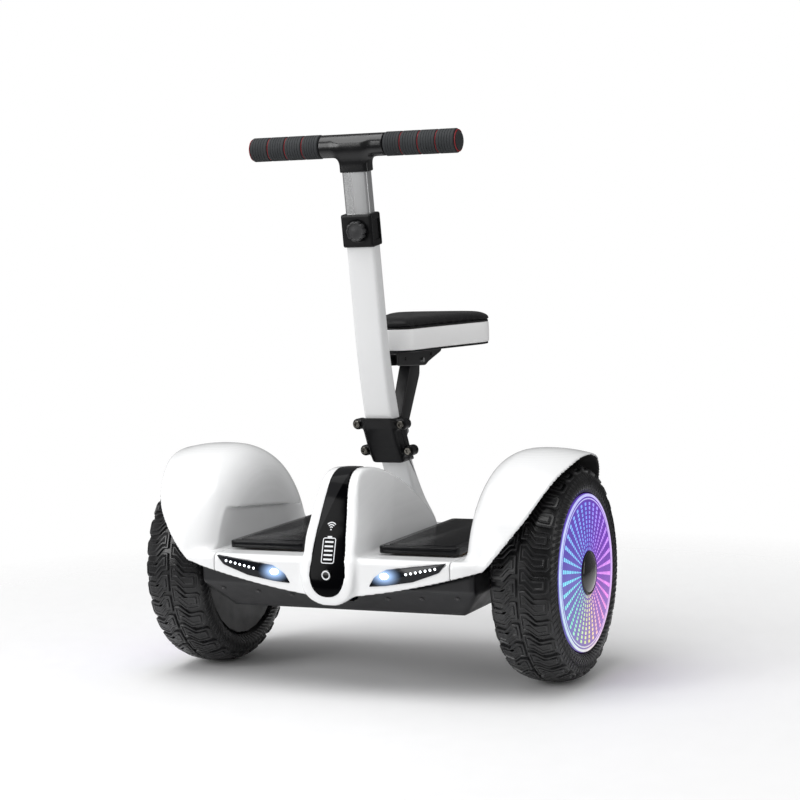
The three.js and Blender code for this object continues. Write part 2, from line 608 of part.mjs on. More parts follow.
function buildInnerTube() {
  const WALL = 1.8;
  const [w, d] = [TUBE_HALF_WIDTH, TUBE_HALF_DEPTH];
  const outside = onTubeAxis(roundedRectangle(-w, w, -d, d, 3), TUBE_BOTTOM, 98);
  const bore = onTubeAxis(roundedRectangle(-w + WALL, w - WALL, -d + WALL, d - WALL, 1.5), -120, 110);
  return cut(outside, bore);
}

function buildHandlebar() {
  const y = handleY;
  const bar = turned([[-129, 0], [-129, 10.5], [-GRIP_START + GAP, 10.5], [-GRIP_START + GAP, 13.6],
    [GRIP_START - GAP, 13.6], [GRIP_START - GAP, 10.5], [129, 10.5], [129, 0]], y, HANDLE_Z, 20);
  const neck = onTubeAxis(roundedRectangle(-18.5, 18.5, -10.5, 10.5, 5), 87, 112);
  const tube = onTubeAxis(roundedRectangle(-TUBE_HALF_WIDTH - GAP, TUBE_HALF_WIDTH + GAP,
    -TUBE_HALF_DEPTH - GAP, TUBE_HALF_DEPTH + GAP, 2), 80, 98.4);
  const shoulder = (side) => polygon([[side * 18, 602], [side * 20, 612], [side * 27, 617.5], [side * 38, 620],
    [side * 10, 622]]);
  const fillets = [1, -1].map((side) => alongY(shoulder(side), y - 8, y + 8));
  return cut(join(bar, neck, ...fillets), tube);
}
const handleY = onTube(0, (HANDLE_Z - POST_TOP.z) / Math.cos(POST_LEAN))[0];

function buildGrip() {
  const profile = [[GRIP_START, 11], [GRIP_START, GRIP_RADIUS], [132, GRIP_RADIUS], [132, 11]];
  return turned(ring(profile), handleY, HANDLE_Z, 20);
}

function buildGripCap() {
  const profile = [[132.3, 0], [132.3, 13.8], [133.5, 13.8], [134.6, 13], [135.6, 10.5], [HANDLE_HALF_LENGTH, 6],
    [HANDLE_HALF_LENGTH, 0]];
  return turned(profile, handleY, HANDLE_Z, 16);
}

// ---- clamp bracket between the post and the stem, as front and rear halves ----
const BRACKET_LINE = [[304, 15.5], [291, 19.5], [268, 31], [247, 45]];   // [z, y] of its middle
const BRACKET_BOLTS = [[-29, 296, 14], [29, 296, 14], [-29, 262, 33], [29, 262, 33]];   // [x, z, y]
const BRACKET_HALF_DEPTH = 18;

function bracketOutline(grow) {
  const front = BRACKET_LINE.map(([z, y]) => [y - BRACKET_HALF_DEPTH + grow, z]);
  const rear = BRACKET_LINE.map(([z, y]) => [y + BRACKET_HALF_DEPTH - grow, z]).reverse();
  return polygon([...front, ...rear]);
}

function buildBracket() {
  const body = alongX(bracketOutline(0), -22, 22);
  const ears = BRACKET_BOLTS.map(([x, z, y]) => join(rodY(y - 8, y + 8, x, z, 6.2, 12),
    box(Math.min(x, 0), Math.max(x, 0), y - 8, y + 8, z - 4.5, z + 4.5)));
  const sockets = [cutRoom(postRoom()), cutRoom(stemRoom())];
  const bolts = BRACKET_BOLTS.map(([x, z, y]) => rodY(y - 40, y + 40, x, z, 2.8, 8));
  return cut(join(body, ...ears), ...sockets, ...bolts);
}
const cutRoom = (outline) => alongX(outline, -POST_HALF_WIDTH - GAP, POST_HALF_WIDTH + GAP);

function postRoom() {
  const [[z0, y0, h0], [z1, y1, h1]] = POST_SECTIONS;
  return polygon([[y0 - h0 - GAP, z0 - GAP], [y1 - h1 - GAP, z1], [y1 + h1 + GAP, z1], [y0 + h0 + GAP, z0 - GAP]]);
}
const stemRoom = () => polygon([[34, 269], [43, 244], [65.5, 244], [54.2, 269]]);

function bracketSplit(front) {
  const line = BRACKET_LINE.map(([z, y]) => [y + (front ? -GAP / 2 : GAP / 2), z]);
  const far = front ? -60 : 160;
  return alongX(polygon([[line[0][0] - 3.5, 316], ...line, [line[3][0] + 12, 230], [far, 230], [far, 316]]), -60, 60);
}

function buildBracketRear() {
  const knuckle = cut(alongX(polygon([[30, 297], [56, 291], [63, 286], [63, 279], [58, 275], [50, 274], [34, 268]]),
    -12.5, 12.5), box(-8, 8, 40.5, 80, 250, 310));
  const whole = join(shared(buildBracket(), bracketSplit(false)), cut(knuckle, cutRoom(postRoom()), cutRoom(stemRoom())));
  return largest(cut(whole, rodX(-30, 30, ARM_PIN.y, ARM_PIN.z, 3 + GAP), bracketSplit(true)));
}

function buildBracketBolt([x, z, y]) {
  const shank = rodY(y - 8.4, y + 11, x, z, 2.4, 8);
  const head = rodY(y - 12, y - 8.3, x, z, 4.4, 12);
  const socket = rodY(y - 13, y - 10, x, z, 2.2, 6);
  const nut = rodY(y + 8.3, y + 11.5, x, z, 4.6, 6);
  return cut(join(shank, head, nut), socket);
}

// ---- seat ----
function buildSeatArm() {
  const axis = [SEAT_PIN.y - ARM_PIN.y, SEAT_PIN.z - ARM_PIN.z];
  const length = Math.hypot(...axis);
  const [uy, uz] = [axis[0] / length, axis[1] / length];
  const at = (along, across) => [ARM_PIN.y + uy * along + uz * across, ARM_PIN.z + uz * along - uy * across];
  const outline = polygon([at(-4, -6), at(3, -9.5), at(12, -11), at(length - 12, -15), at(length - 1, -10),
    at(length + 5, -5), at(length + 5, 4), at(length - 1, 11), at(length - 12, 16), at(12, 12), at(3, 9.5), at(-4, 6)]);
  const ends = [ARM_PIN, SEAT_PIN].map((pin) => rodX(-30, 30, pin.y, pin.z, 3 + GAP));
  return cut(alongX(outline, -7.5, 7.5), ...ends);
}

const buildPin = (at, halfLength) => rodX(-halfLength, halfLength, at.y, at.z, 3);

function buildSeatBracket() {
  const plate = box(-15, 15, 36, 168, SEAT_BASE_Z - 4.5, SEAT_BASE_Z - 1.6);
  const flange = polygon([[36, SEAT_BASE_Z - 2], [36, 364], [60, 362], [118, 358.5], [126, 362], [168, 372.5],
    [168, SEAT_BASE_Z - 2]]);
  const sides = [alongX(flange, -15, -11.5), alongX(flange, 11.5, 15)];
  const holes = [[56, 371.5], [134, 371.5]].map(([y, z]) => rodX(-30, 30, y, z, 2.2, 8));
  return cut(join(plate, ...sides), ...holes, rodX(-30, 30, SEAT_PIN.y, SEAT_PIN.z, 3 + GAP));
}

function seatOutline(inset) {
  const half = [[0, 27 + inset], [16 - inset * 0.7, 31 + inset], [29 - inset, 48], [43 - inset, 88], [59 - inset, 140],
    [70 - inset, 182], [63 - inset, 206 - inset], [37, 216 - inset], [0, 218 - inset]];
  const right = smoothLine(half, 14);
  const left = right.slice(1, -1).map(([x, y]) => [-x, y]).reverse();
  return [...right, ...left];
}

function buildSeatBand() {
  const shape = polygon(seatOutline(0));
  shape.holes.push(polygon(seatOutline(4)));
  return alongZ(shape, SEAT_BASE_Z, SEAT_BASE_Z + SEAT_BAND_HEIGHT);
}

function buildSeatCushion() {
  const top = SEAT_BASE_Z + SEAT_BAND_HEIGHT;
  return join(alongZ(polygon(seatOutline(4.6)), SEAT_BASE_Z + 0.4, top + 1),
    alongZ(polygon(seatOutline(1)), top + 0.4, top + 8), alongZ(polygon(seatOutline(7)), top + 7, top + 12.5));
}
const buildSeatBase = () => alongZ(polygon(seatOutline(2.5)), SEAT_BASE_Z - 1.2, SEAT_BASE_Z - GAP);

// ---- assembly ----
addPair('tyre', buildTyre(), tyreRubber);
addPair('motor_drum', buildMotorDrum(), castAluminium);
addPair('motor_cover', buildMotorCover(), castAluminium);
addPair('axle_bearing', buildBearing(), steel);
addPair('light_cover', buildLightCover(), lightCover);
addPair('hub_cap', buildHubCap(), glossBlack);
addPair('stator', buildStator(), copper);
addPair('axle', buildAxle(), steel);

add('chassis_frame', buildChassisFrame(), castAluminium);
addPair('axle_clamp', buildAxleClamp(), castAluminium);
add('lower_pan', buildLowerPan(), panPlastic);
add('top_shell', buildTopShell(), whiteShell);
addPair('fender', buildFender(), whiteShell);
add('console_panel', buildConsolePanel(), glossBlack);
add('power_button', buildPowerButton(), glossBlack);
addPair('headlight', buildHeadlight(), lampBlack);
add('tail_light', buildTailLight(), redLamp);
add('battery_pack', buildBattery(), batteryWrap);
add('control_board', buildControlBoard(), boardGreen);
add('charge_port', buildChargePort(), blackPlastic);
add('charge_port_cap', buildChargeCap(), padRubber);
addPair('foot_sensor', buildFootSensor(), sensorFilm);
addPair('foot_pad', buildFootPad(), padRubber);

add('stem_shaft', buildStemShaft(), steel);
add('lower_stem', buildLowerStem(), whitePaint);
add('bracket_front', shared(buildBracket(), bracketSplit(true)), blackPlastic);
add('bracket_rear', buildBracketRear(), blackPlastic);
BRACKET_BOLTS.forEach((bolt, index) => add(`bracket_bolt_${index + 1}`, buildBracketBolt(bolt), steel));
add('outer_post', buildOuterPost(), whitePaint);
add('collar', buildCollar(), blackPlastic);
add('clamp_knob', buildClampKnob(), blackPlastic);
add('inner_tube', buildInnerTube(), aluminium);
add('handlebar', buildHandlebar(), blackPlastic);
addPair('grip', buildGrip(), gripFoam);
addPair('grip_cap', buildGripCap(), gripFoam);

add('seat_arm', buildSeatArm(), blackPlastic);
add('arm_pin', buildPin(ARM_PIN, 14), steel);
add('seat_bracket', buildSeatBracket(), blackPlastic);
add('seat_pin', buildPin(SEAT_PIN, 17), steel);
add('seat_base', buildSeatBase(), blackPlastic);
add('seat_band', buildSeatBand(), bandWhite);
add('seat_cushion', buildSeatCushion(), seatLeather);

scooter.position.z = -GROUND_CLEARANCE;
scooter.updateMatrixWorld(true);

export default scooter;
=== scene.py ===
"""Looks for the seated self-balancing scooter: its fine shapes, materials, floor, lamps and camera.

Outlines are in millimetres, with x to the right, y to the back and heights measured from the ground.
place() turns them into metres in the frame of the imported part.
"""

import math

import bmesh
import bpy
import numpy as np
import openvdb
from mathutils import Matrix, Vector


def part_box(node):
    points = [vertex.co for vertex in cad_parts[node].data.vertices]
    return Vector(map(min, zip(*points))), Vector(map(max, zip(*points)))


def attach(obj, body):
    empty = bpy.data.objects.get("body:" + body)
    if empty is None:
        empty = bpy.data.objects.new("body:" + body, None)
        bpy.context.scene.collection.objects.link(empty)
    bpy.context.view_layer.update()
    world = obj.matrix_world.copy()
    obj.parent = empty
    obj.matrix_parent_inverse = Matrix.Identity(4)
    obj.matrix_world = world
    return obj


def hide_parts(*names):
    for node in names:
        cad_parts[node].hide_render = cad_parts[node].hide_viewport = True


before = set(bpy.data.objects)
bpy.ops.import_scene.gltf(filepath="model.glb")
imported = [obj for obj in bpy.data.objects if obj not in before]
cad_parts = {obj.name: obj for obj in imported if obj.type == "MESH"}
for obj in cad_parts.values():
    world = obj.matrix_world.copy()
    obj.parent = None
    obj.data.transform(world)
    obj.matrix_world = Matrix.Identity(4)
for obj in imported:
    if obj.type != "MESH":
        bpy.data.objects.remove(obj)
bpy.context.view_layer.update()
scene = bpy.context.scene

MM = 0.001
FULL_TURN = 2 * math.pi
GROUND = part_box("tyre_right")[0].z
SIDES = {"right": 1, "left": -1}
VOXEL, FINE_VOXEL = 2.0, 0.9


def place(points):
    """Millimetres above the ground, as metres in the part's frame."""
    return np.asarray(points, float) * MM + np.array([0, 0, GROUND])


def span(node):
    """Lowest and highest corners of a CAD node, in millimetres above the ground."""
    return [(np.array(corner) - np.array([0, 0, GROUND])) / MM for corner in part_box(node)]


def middle(node):
    low, high = span(node)
    return (low + high) / 2


WHEEL_X, _, AXLE_Z = middle("tyre_right")


# ---- materials ----
class Nodes:
    """A material's node tree, with short ways to add and join nodes."""

    def __init__(self, name):
        self.material = bpy.data.materials.new(name)
        self.material.use_nodes = True
        self.tree = self.material.node_tree
        self.shader = self.tree.nodes["Principled BSDF"]
        self.coordinates = self.tree.nodes.new("ShaderNodeTexCoord").outputs["Object"]

    def add(self, kind, settings=None, **inputs):
        node = self.tree.nodes.new(kind)
        for key, value in (settings or {}).items():
            setattr(node, key, value)
        for key, value in inputs.items():
            self.put(node, key.replace("_", " "), value)
        return node

    def put(self, node, socket, value):
        """Links or sets an input, found by its name or its place."""
        target = node.inputs[socket]
        if isinstance(value, bpy.types.NodeSocket):
            self.tree.links.new(value, target)
        else:
            target.default_value = value

    def look(self, **inputs):
        """Links or sets inputs of the surface shader."""
        for key, value in inputs.items():
            self.put(self.shader, key.replace("_", " "), value)

    def base(self):
        """What colours the surface so far."""
        return self.shader.inputs["Base Color"].links[0].from_socket

    def math(self, operation, *values):
        node = self.add("ShaderNodeMath", {"operation": operation})
        for index, value in enumerate(values):
            self.put(node, index, value)
        return node.outputs[0]

    def length(self, a, b):
        squares = [self.math("MULTIPLY", value, value) for value in (a, b)]
        return self.math("SQRT", self.math("ADD", *squares))

    def axes(self):
        return self.add("ShaderNodeSeparateXYZ", Vector=self.coordinates).outputs

    def noise(self, scale, detail=3.0, stretch=(1, 1, 1)):
        mapped = self.add("ShaderNodeMapping", Vector=self.coordinates, Scale=stretch).outputs[0]
        return self.add("ShaderNodeTexNoise", Vector=mapped, Scale=scale, Detail=detail).outputs["Fac"]

    def cells(self, scale, feature="F1"):
        node = self.add("ShaderNodeTexVoronoi", {"feature": feature}, Vector=self.coordinates, Scale=scale)
        return node.outputs["Distance"]

    def between(self, value, low, high, start=0.3, end=0.7):
        """Low where the value is at start, high where it is at end."""
        ends = {"From_Min": start, "From_Max": end, "To_Min": low, "To_Max": high}
        return self.add("ShaderNodeMapRange", Value=value, **ends).outputs[0]

    def mix(self, share, first, second):
        node = self.add("ShaderNodeMix", {"data_type": "RGBA"})
        for index, value in ((0, share), (6, first), (7, second)):
            self.put(node, index, value)
        return node.outputs[2]

    def bump(self, height, depth, below=None):
        """A normal from a height, depth millimetres deep, on top of another normal."""
        node = self.add("ShaderNodeBump", Height=height, Strength=1.0, Distance=depth * MM)
        if below is not None:
            self.put(node, "Normal", below)
        return node.outputs[0]


def rgba(colour):
    return (*colour, 1.0)


MOTTLE_SCALE, SMUDGE_SCALE, RUB_AND_HIGHLIGHT_SCALE = 18.0, 45.0, 70.0


def finish(name, colour, roughness, metallic=0.0, coat=0.0, mottle=0.12, rough_spread=0.06,
           grain=900.0, depth=0.03, stretch=(1, 1, 1), worn=0.0, specular=0.5):
    """A moulded, cast or brushed surface: mottled colour, uneven roughness, fine grain and pale rubbed edges,
    which on the tyre also stand for a painted highlight.
    """
    nodes = Nodes(name)
    dark = tuple(channel * (1 - mottle) for channel in colour)
    patches = nodes.noise(MOTTLE_SCALE, 4.0, stretch)
    tint = nodes.mix(nodes.between(patches, 0, 1), rgba(dark), rgba(colour))
    # Pale edges where the surface is pointy: rubbed wear, and on the tyre also a painted highlight along the
    # block edges.
    if worn > 0:
        edge = nodes.add("ShaderNodeNewGeometry").outputs["Pointiness"]
        rub_and_highlight = nodes.math("MULTIPLY", nodes.between(edge, 0, worn, 0.52, 0.6), nodes.noise(RUB_AND_HIGHLIGHT_SCALE))
        pale = tuple(min(1.0, channel * 2.2 + 0.05) for channel in colour)
        tint = nodes.mix(rub_and_highlight, tint, rgba(pale))
    smudges = nodes.noise(SMUDGE_SCALE, 5.0, stretch)
    smoothest = max(0.02, roughness - rough_spread)
    nodes.look(Base_Color=tint, Roughness=nodes.between(smudges, smoothest, roughness + rough_spread),
               Normal=nodes.bump(nodes.noise(grain, 2.0, stretch), depth), Metallic=metallic,
               Coat_Weight=coat, Coat_Roughness=0.06, Specular_IOR_Level=specular)
    return nodes


def leather():
    """Black leatherette: small pebbles with fine creases between them."""
    nodes = finish("leather", (0.006, 0.006, 0.007), 0.4, mottle=0.25, rough_spread=0.1, specular=0.32)
    pebbles = nodes.between(nodes.cells(520.0, "DISTANCE_TO_EDGE"), 0, 1, 0.0, 0.12)
    creases = nodes.bump(pebbles, 0.12)
    nodes.look(Normal=nodes.bump(nodes.noise(40.0, 2.0), 0.1, creases), Sheen_Weight=0.03)
    return nodes


def rubber():
    """Tyre rubber: a fine mould grain, dusty patches, and pale block edges that are partly rubbed wear and
    partly a painted highlight.
    """
    # The tyre's pale block edges are partly rubbed wear and partly a painted highlight.
    nodes = finish("tyre_rubber", (0.009, 0.009, 0.01), 0.31, mottle=0.3, rough_spread=0.12, grain=700,
                   depth=0.05, worn=0.55)
    dust = nodes.between(nodes.noise(28.0, 6.0), 0, 0.35, 0.5, 0.75)
    nodes.look(Base_Color=nodes.mix(dust, nodes.base(), rgba((0.035, 0.035, 0.036))))
    return nodes


def foam():
    """Grip foam: open pores all over."""
    nodes = finish("grip_foam", (0.03, 0.033, 0.036), 0.8, mottle=0.3, grain=1500, depth=0.15)
    pores = nodes.bump(nodes.cells(1300.0), 0.12)
    nodes.look(Normal=nodes.bump(nodes.noise(240.0), 0.1, pores))
    return nodes


def glow(name, colour, strength):
    """A lit surface whose brightness varies a little across it."""
    nodes = finish(name, colour, 0.25, mottle=0.05)
    power = nodes.between(nodes.noise(220.0), strength * 0.85, strength * 1.15)
    nodes.look(Emission_Color=rgba(colour), Emission_Strength=power)
    return nodes


HUES = [(0.0, (0.78, 0.2, 0.95)), (0.12, (0.42, 0.16, 1.0)), (0.25, (0.07, 0.3, 1.0)),
        (0.38, (0.1, 0.5, 1.0)), (0.5, (0.08, 0.85, 0.95)), (0.62, (0.12, 0.9, 0.42)),
        (0.7, (0.6, 0.95, 0.2)), (0.76, (1.0, 0.85, 0.12)), (0.83, (1.0, 0.4, 0.55)),
        (0.92, (1.0, 0.18, 0.8)), (1.0, (0.78, 0.2, 0.95))]
VIOLET = (0.26, 0.05, 0.85)


def hub_light(name, wash, strength, lift):
    """Lit hub cover: the hue goes round the wheel, under a violet wash."""
    nodes = finish(name, (0.3, 0.2, 0.6), 0.2, coat=0.3)
    x, y, z = nodes.axes()
    up = nodes.math("SUBTRACT", z, AXLE_Z * MM + GROUND)
    turn = nodes.math("DIVIDE", nodes.math("ARCTAN2", up, y), FULL_TURN)
    ramp = nodes.add("ShaderNodeValToRGB", Fac=nodes.math("FRACT", nodes.math("ADD", turn, 1.0)))
    stops = ramp.color_ramp.elements
    for share, colour in HUES[1:-1]:
        stops.new(share).color = rgba(colour)
    stops[0].color = rgba(HUES[0][1])
    stops[-1].color = rgba(HUES[-1][1])
    violet = nodes.mix(wash, ramp.outputs[0], rgba(VIOLET))
    nodes.look(Emission_Color=nodes.mix(lift, violet, rgba((1, 1, 1))),
               Base_Color=nodes.mix(0.8, violet, rgba((0.01, 0.005, 0.03))),
               Emission_Strength=nodes.between(nodes.noise(90.0), strength * 0.9, strength * 1.1))
    return nodes


def lamp_lens(side):
    """Smoked headlight lens with a cold glow round its main lamp, towards the inner tip."""
    nodes = finish(f"lamp_lens_{side}", (0.005, 0.006, 0.009), 0.1, coat=0.15, depth=0.01, specular=0.2)
    x, y, z = nodes.axes()
    along = nodes.math("MULTIPLY", nodes.math("SUBTRACT", x, SIDES[side] * LAMP_X * MM), 0.62)
    up = nodes.math("SUBTRACT", z, LAMP_Z * MM + GROUND)
    halo = nodes.between(nodes.length(along, up), 1.0, 0.0, 0.001, 0.014)
    power = nodes.math("MULTIPLY", nodes.math("POWER", halo, 2.0), 2.2)
    nodes.look(Emission_Color=(0.42, 0.62, 1.0, 1), Emission_Strength=power)
    return nodes


def console_gloss():
    """Glossy black glass with a painted reflection: a shade lighter above a slanting line."""
    nodes = finish("console_glass", (0.001, 0.001, 0.0015), 0.12, rough_spread=0.02, depth=0.002,
                   specular=0.05)
    x, y, z = nodes.axes()
    # Painted reflection: the glass is a shade lighter above this slanting line.
    line = nodes.math("MULTIPLY_ADD", x, 2.6, 224 * MM + GROUND)
    above = nodes.between(nodes.math("SUBTRACT", z, line), 0, 1, 0.0, 0.003)
    nodes.look(Base_Color=nodes.mix(above, nodes.base(), rgba((0.014, 0.014, 0.015))))
    return nodes


WHITE = finish("white_shell", (0.86, 0.865, 0.87), 0.2, coat=0.35, mottle=0.02, rough_spread=0.05, grain=420,
               depth=0.012)
PAINT = finish("white_paint", (0.8, 0.805, 0.81), 0.3, coat=0.2, mottle=0.01, rough_spread=0.012, grain=700,
               depth=0.02)
BAND = finish("seat_band_white", (0.9, 0.9, 0.9), 0.3, mottle=0.01, rough_spread=0.012, grain=1100,
              depth=0.05)
GLOSS = finish("gloss_black", (0.003, 0.003, 0.004), 0.07, coat=1.0, rough_spread=0.03, depth=0.004)
GLASS = console_gloss()
PLASTIC = finish("black_plastic", (0.006, 0.006, 0.007), 0.36, mottle=0.3, depth=0.05, worn=0.2, specular=0.3)
SATIN = finish("satin_black", (0.005, 0.005, 0.006), 0.26, coat=0.15, mottle=0.3, depth=0.02)
PAN = finish("pan_plastic", (0.011, 0.011, 0.013), 0.38, mottle=0.25, rough_spread=0.1, grain=1300, depth=0.1)
UNDERSIDE_BLACK = finish("fender_liner", (0.01, 0.01, 0.011), 0.7, mottle=0.3, grain=800, depth=0.15)
PAD = finish("pad_rubber", (0.004, 0.004, 0.005), 0.2, coat=0.05, mottle=0.3, rough_spread=0.07, depth=0.02,
             specular=0.22)
STEEL_BLACK = finish("black_steel", (0.015, 0.015, 0.016), 0.35, mottle=0.25, grain=1500, depth=0.05,
                     worn=0.3)
RUBBER = rubber()
CAST = finish("cast_aluminium", (0.42, 0.43, 0.44), 0.45, metallic=1.0, mottle=0.2, grain=800, depth=0.1)
BRUSHED = finish("brushed_aluminium", (0.66, 0.665, 0.67), 0.3, metallic=0.8, mottle=0.2, rough_spread=0.08,
                 grain=1100, depth=0.006, stretch=(1, 1, 0.02))
CHROME = finish("bright_steel", (0.75, 0.76, 0.77), 0.16, metallic=1.0, mottle=0.1, depth=0.01)
KNOB = finish("knob_plastic", (0.035, 0.035, 0.037), 0.4, mottle=0.25, grain=1200, depth=0.05, worn=0.2)
ZINC = finish("zinc_steel", (0.2, 0.19, 0.17), 0.3, metallic=1.0, mottle=0.3, depth=0.02)
COPPER = finish("copper", (0.62, 0.3, 0.13), 0.35, metallic=0.9, mottle=0.3, stretch=(1, 8, 8), depth=0.1)
WRAP = finish("battery_wrap", (0.04, 0.12, 0.4), 0.4, mottle=0.2, grain=300, depth=0.15)
BOARD = finish("circuit_board", (0.02, 0.2, 0.08), 0.4, mottle=0.5, grain=600, depth=0.1)
FILM = finish("sensor_film", (0.5, 0.28, 0.06), 0.35, mottle=0.25)
RED_LENS = finish("red_lens", (0.45, 0.01, 0.015), 0.1, coat=1.0, mottle=0.3, grain=500, depth=0.1)
RED_RING = finish("red_ring", (0.3, 0.015, 0.02), 0.45, mottle=0.2)
LEATHER = leather()
FOAM = foam()
ICON = glow("icon_white", (0.6, 0.61, 0.63), 0.3)
LED = glow("daylight_led", (0.9, 0.95, 1.0), 3.0)
MAIN_LAMP = glow("main_lamp", (0.75, 0.87, 1.0), 6.0)
DISC = hub_light("hub_disc", 0.82, 0.42, 0.0)
DOTS = hub_light("hub_dots", 0.12, 1.0, 0.16)
HALO = hub_light("hub_ring", 0.5, 0.95, 0.5)


# ---- outlines, as lists of (u, v) ----
def smooth(points, steps=6, closed=False):
    """A curve through the points."""
    pts = [np.array(p, float) for p in points]
    count = len(pts)
    curve = []
    for i in range(count if closed else count - 1):
        near = [k % count if closed else min(max(k, 0), count - 1) for k in range(i - 1, i + 3)]
        before, a, b, after = (pts[k] for k in near)
        for t in np.arange(steps) / steps:
            curve.append(0.5 * (2 * a + (b - before) * t + (2 * before - 5 * a + 4 * b - after) * t ** 2
                                + (3 * a - before - 3 * b + after) * t ** 3))
    if not closed:
        curve.append(pts[-1])
    return curve


def rounded(points, radius, steps=4):
    """The closed outline with each corner turned into a short curve."""
    pts = [np.array(p, float) for p in points]
    result = []
    for i, corner in enumerate(pts):
        before, after = pts[i - 1] - corner, pts[(i + 1) % len(pts)] - corner
        reach = min(radius, np.linalg.norm(before) * 0.48, np.linalg.norm(after) * 0.48)
        start = corner + before / np.linalg.norm(before) * reach
        end = corner + after / np.linalg.norm(after) * reach
        for t in np.arange(steps + 1) / steps:
            result.append((1 - t) ** 2 * start + 2 * t * (1 - t) * corner + t ** 2 * end)
    return result


def rectangle(u0, u1, v0, v1, radius, steps=4):
    return rounded([(u0, v0), (u1, v0), (u1, v1), (u0, v1)], radius, steps)


def oval(u, v, half_u, half_v, count):
    turns = np.arange(count) / count * FULL_TURN
    return [np.array([u + math.cos(a) * half_u, v + math.sin(a) * half_v]) for a in turns]


def inset(outline, amount):
    """The outline moved inwards along its normals."""
    pts = np.array(outline)
    along = np.roll(pts, -1, 0) - np.roll(pts, 1, 0)
    along /= np.maximum(np.linalg.norm(along, axis=1, keepdims=True), 1e-9)
    area = np.sum(pts[:, 0] * np.roll(pts[:, 1], -1) - np.roll(pts[:, 0], -1) * pts[:, 1])
    inwards = np.stack([-along[:, 1], along[:, 0]], 1) * (1 if area > 0 else -1)
    return pts + inwards * amount


def lengths(line):
    """How far along the line each of its points is."""
    return np.concatenate([[0], np.cumsum(np.linalg.norm(np.diff(line, axis=0), axis=1))])


# ---- meshes ----
class Shape:
    """Points and faces of a piece as it is put together, in millimetres."""

    def __init__(self):
        self.points, self.faces, self.slots = [], [], []

    def add(self, points, faces, slot=0):
        start = len(self.points)
        self.points.extend(np.asarray(points, float).tolist())
        self.faces.extend([tuple(start + int(i) for i in face) for face in faces])
        self.slots.extend([slot] * len(faces))
        return self

    def rings(self, rings, closed=False, slot=0):
        """Joins rings of equally many points. Open ends get a cap."""
        size = len(rings[0])
        faces = []
        for row in range(len(rings) if closed else len(rings) - 1):
            a, b = row * size, ((row + 1) % len(rings)) * size
            faces += [(a + i, a + (i + 1) % size, b + (i + 1) % size, b + i) for i in range(size)]
        if not closed:
            last = (len(rings) - 1) * size
            faces += [tuple(range(size)), tuple(range(last, last + size))]
        return self.add(np.concatenate([np.asarray(ring, float) for ring in rings]), faces, slot)

    def moved(self, at=(0, 0, 0), order=(0, 1, 2), side="right"):
        """Reorders the axes, shifts the shape, and mirrors it when it belongs on the left."""
        points = (np.array(self.points)[:, order] + at) * (SIDES[side], 1, 1)
        self.points = points.tolist()
        return self


def solid(name, shape, materials=()):
    """The shape as an object, with its points merged and its faces pointing out."""
    mesh = bpy.data.meshes.new(name)
    mesh.from_pydata(place(shape.points).tolist(), [], shape.faces)
    for nodes in materials:
        mesh.materials.append(nodes.material)
    mesh.polygons.foreach_set("material_index", shape.slots)
    work = bmesh.new()
    work.from_mesh(mesh)
    bmesh.ops.remove_doubles(work, verts=work.verts, dist=1e-6)
    bmesh.ops.recalc_face_normals(work, faces=work.faces)
    work.to_mesh(mesh)
    work.free()
    piece = bpy.data.objects.new(name, mesh)
    scene.collection.objects.link(piece)
    return piece


def shade(piece, sharp):
    """Smooth shading, apart from edges sharper than an angle in degrees."""
    piece.data.shade_smooth()
    piece.data.set_sharp_from_angle(angle=math.radians(sharp))


def make(name, shape, materials, body, stands_for, sharp):
    """The shape as a piece that rides on a body."""
    piece = solid(name, shape, materials)
    shade(piece, sharp)
    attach(piece, body)
    if stands_for:
        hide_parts(*stands_for)
    return piece


def carried_out(piece):
    """Replaces the piece's mesh with its modifiers' result."""
    mesh = bpy.data.meshes.new_from_object(piece.evaluated_get(bpy.context.evaluated_depsgraph_get()))
    piece.modifiers.clear()
    piece.data = mesh


def bore(piece, hole):
    """Takes a closed shape away from a piece."""
    cutter = solid("hole", hole)
    cut = piece.modifiers.new("Hole", "BOOLEAN")
    cut.operation, cut.solver, cut.object = "DIFFERENCE", "EXACT", cutter
    carried_out(piece)
    bpy.data.objects.remove(cutter)
    shade(piece, 50)


AXIS_ORDER = {"x": (2, 0, 1), "y": (0, 2, 1), "z": (0, 1, 2)}


def prism(shape, outline, axis, low, high, edge, steps=3):
    """An outline carried from low to high along an axis, with rounded rims."""
    turns = np.arange(steps + 1) / steps * math.pi / 2
    rim = [(edge * (1 - math.sin(t)), edge * (1 - math.cos(t))) for t in turns]
    rows = [(back, low + lift) for back, lift in rim] + [(back, high - lift) for back, lift in rim[::-1]]
    rings = [np.array([(u, v, w) for u, v in inset(outline, back)])[:, AXIS_ORDER[axis]] for back, w in rows]
    return shape.rings(rings)


def turned(shape, profile, segments=96, closed=False, slot=0):
    """A profile of (x, radius) turned about the x axis."""
    turns = np.arange(segments) / segments * FULL_TURN
    rings = [[(x, math.cos(a) * max(r, 0.02), math.sin(a) * max(r, 0.02)) for a in turns] for x, r in profile]
    return shape.rings(rings, closed, slot)


def tube(shape, path, radius, sides=8):
    """A round bead along a closed path."""
    path = np.array(path, float)
    rings = []
    for point, along in zip(path, np.roll(path, -1, 0) - np.roll(path, 1, 0)):
        along = along / np.linalg.norm(along)
        side = np.cross(along, (0, 0, 1) if abs(along[2]) < 0.9 else (0, 1, 0))
        side /= np.linalg.norm(side)
        up = np.cross(side, along)
        rings.append([point + u * side + v * up for u, v in oval(0, 0, radius, radius, sides)])
    return shape.rings(rings, closed=True)


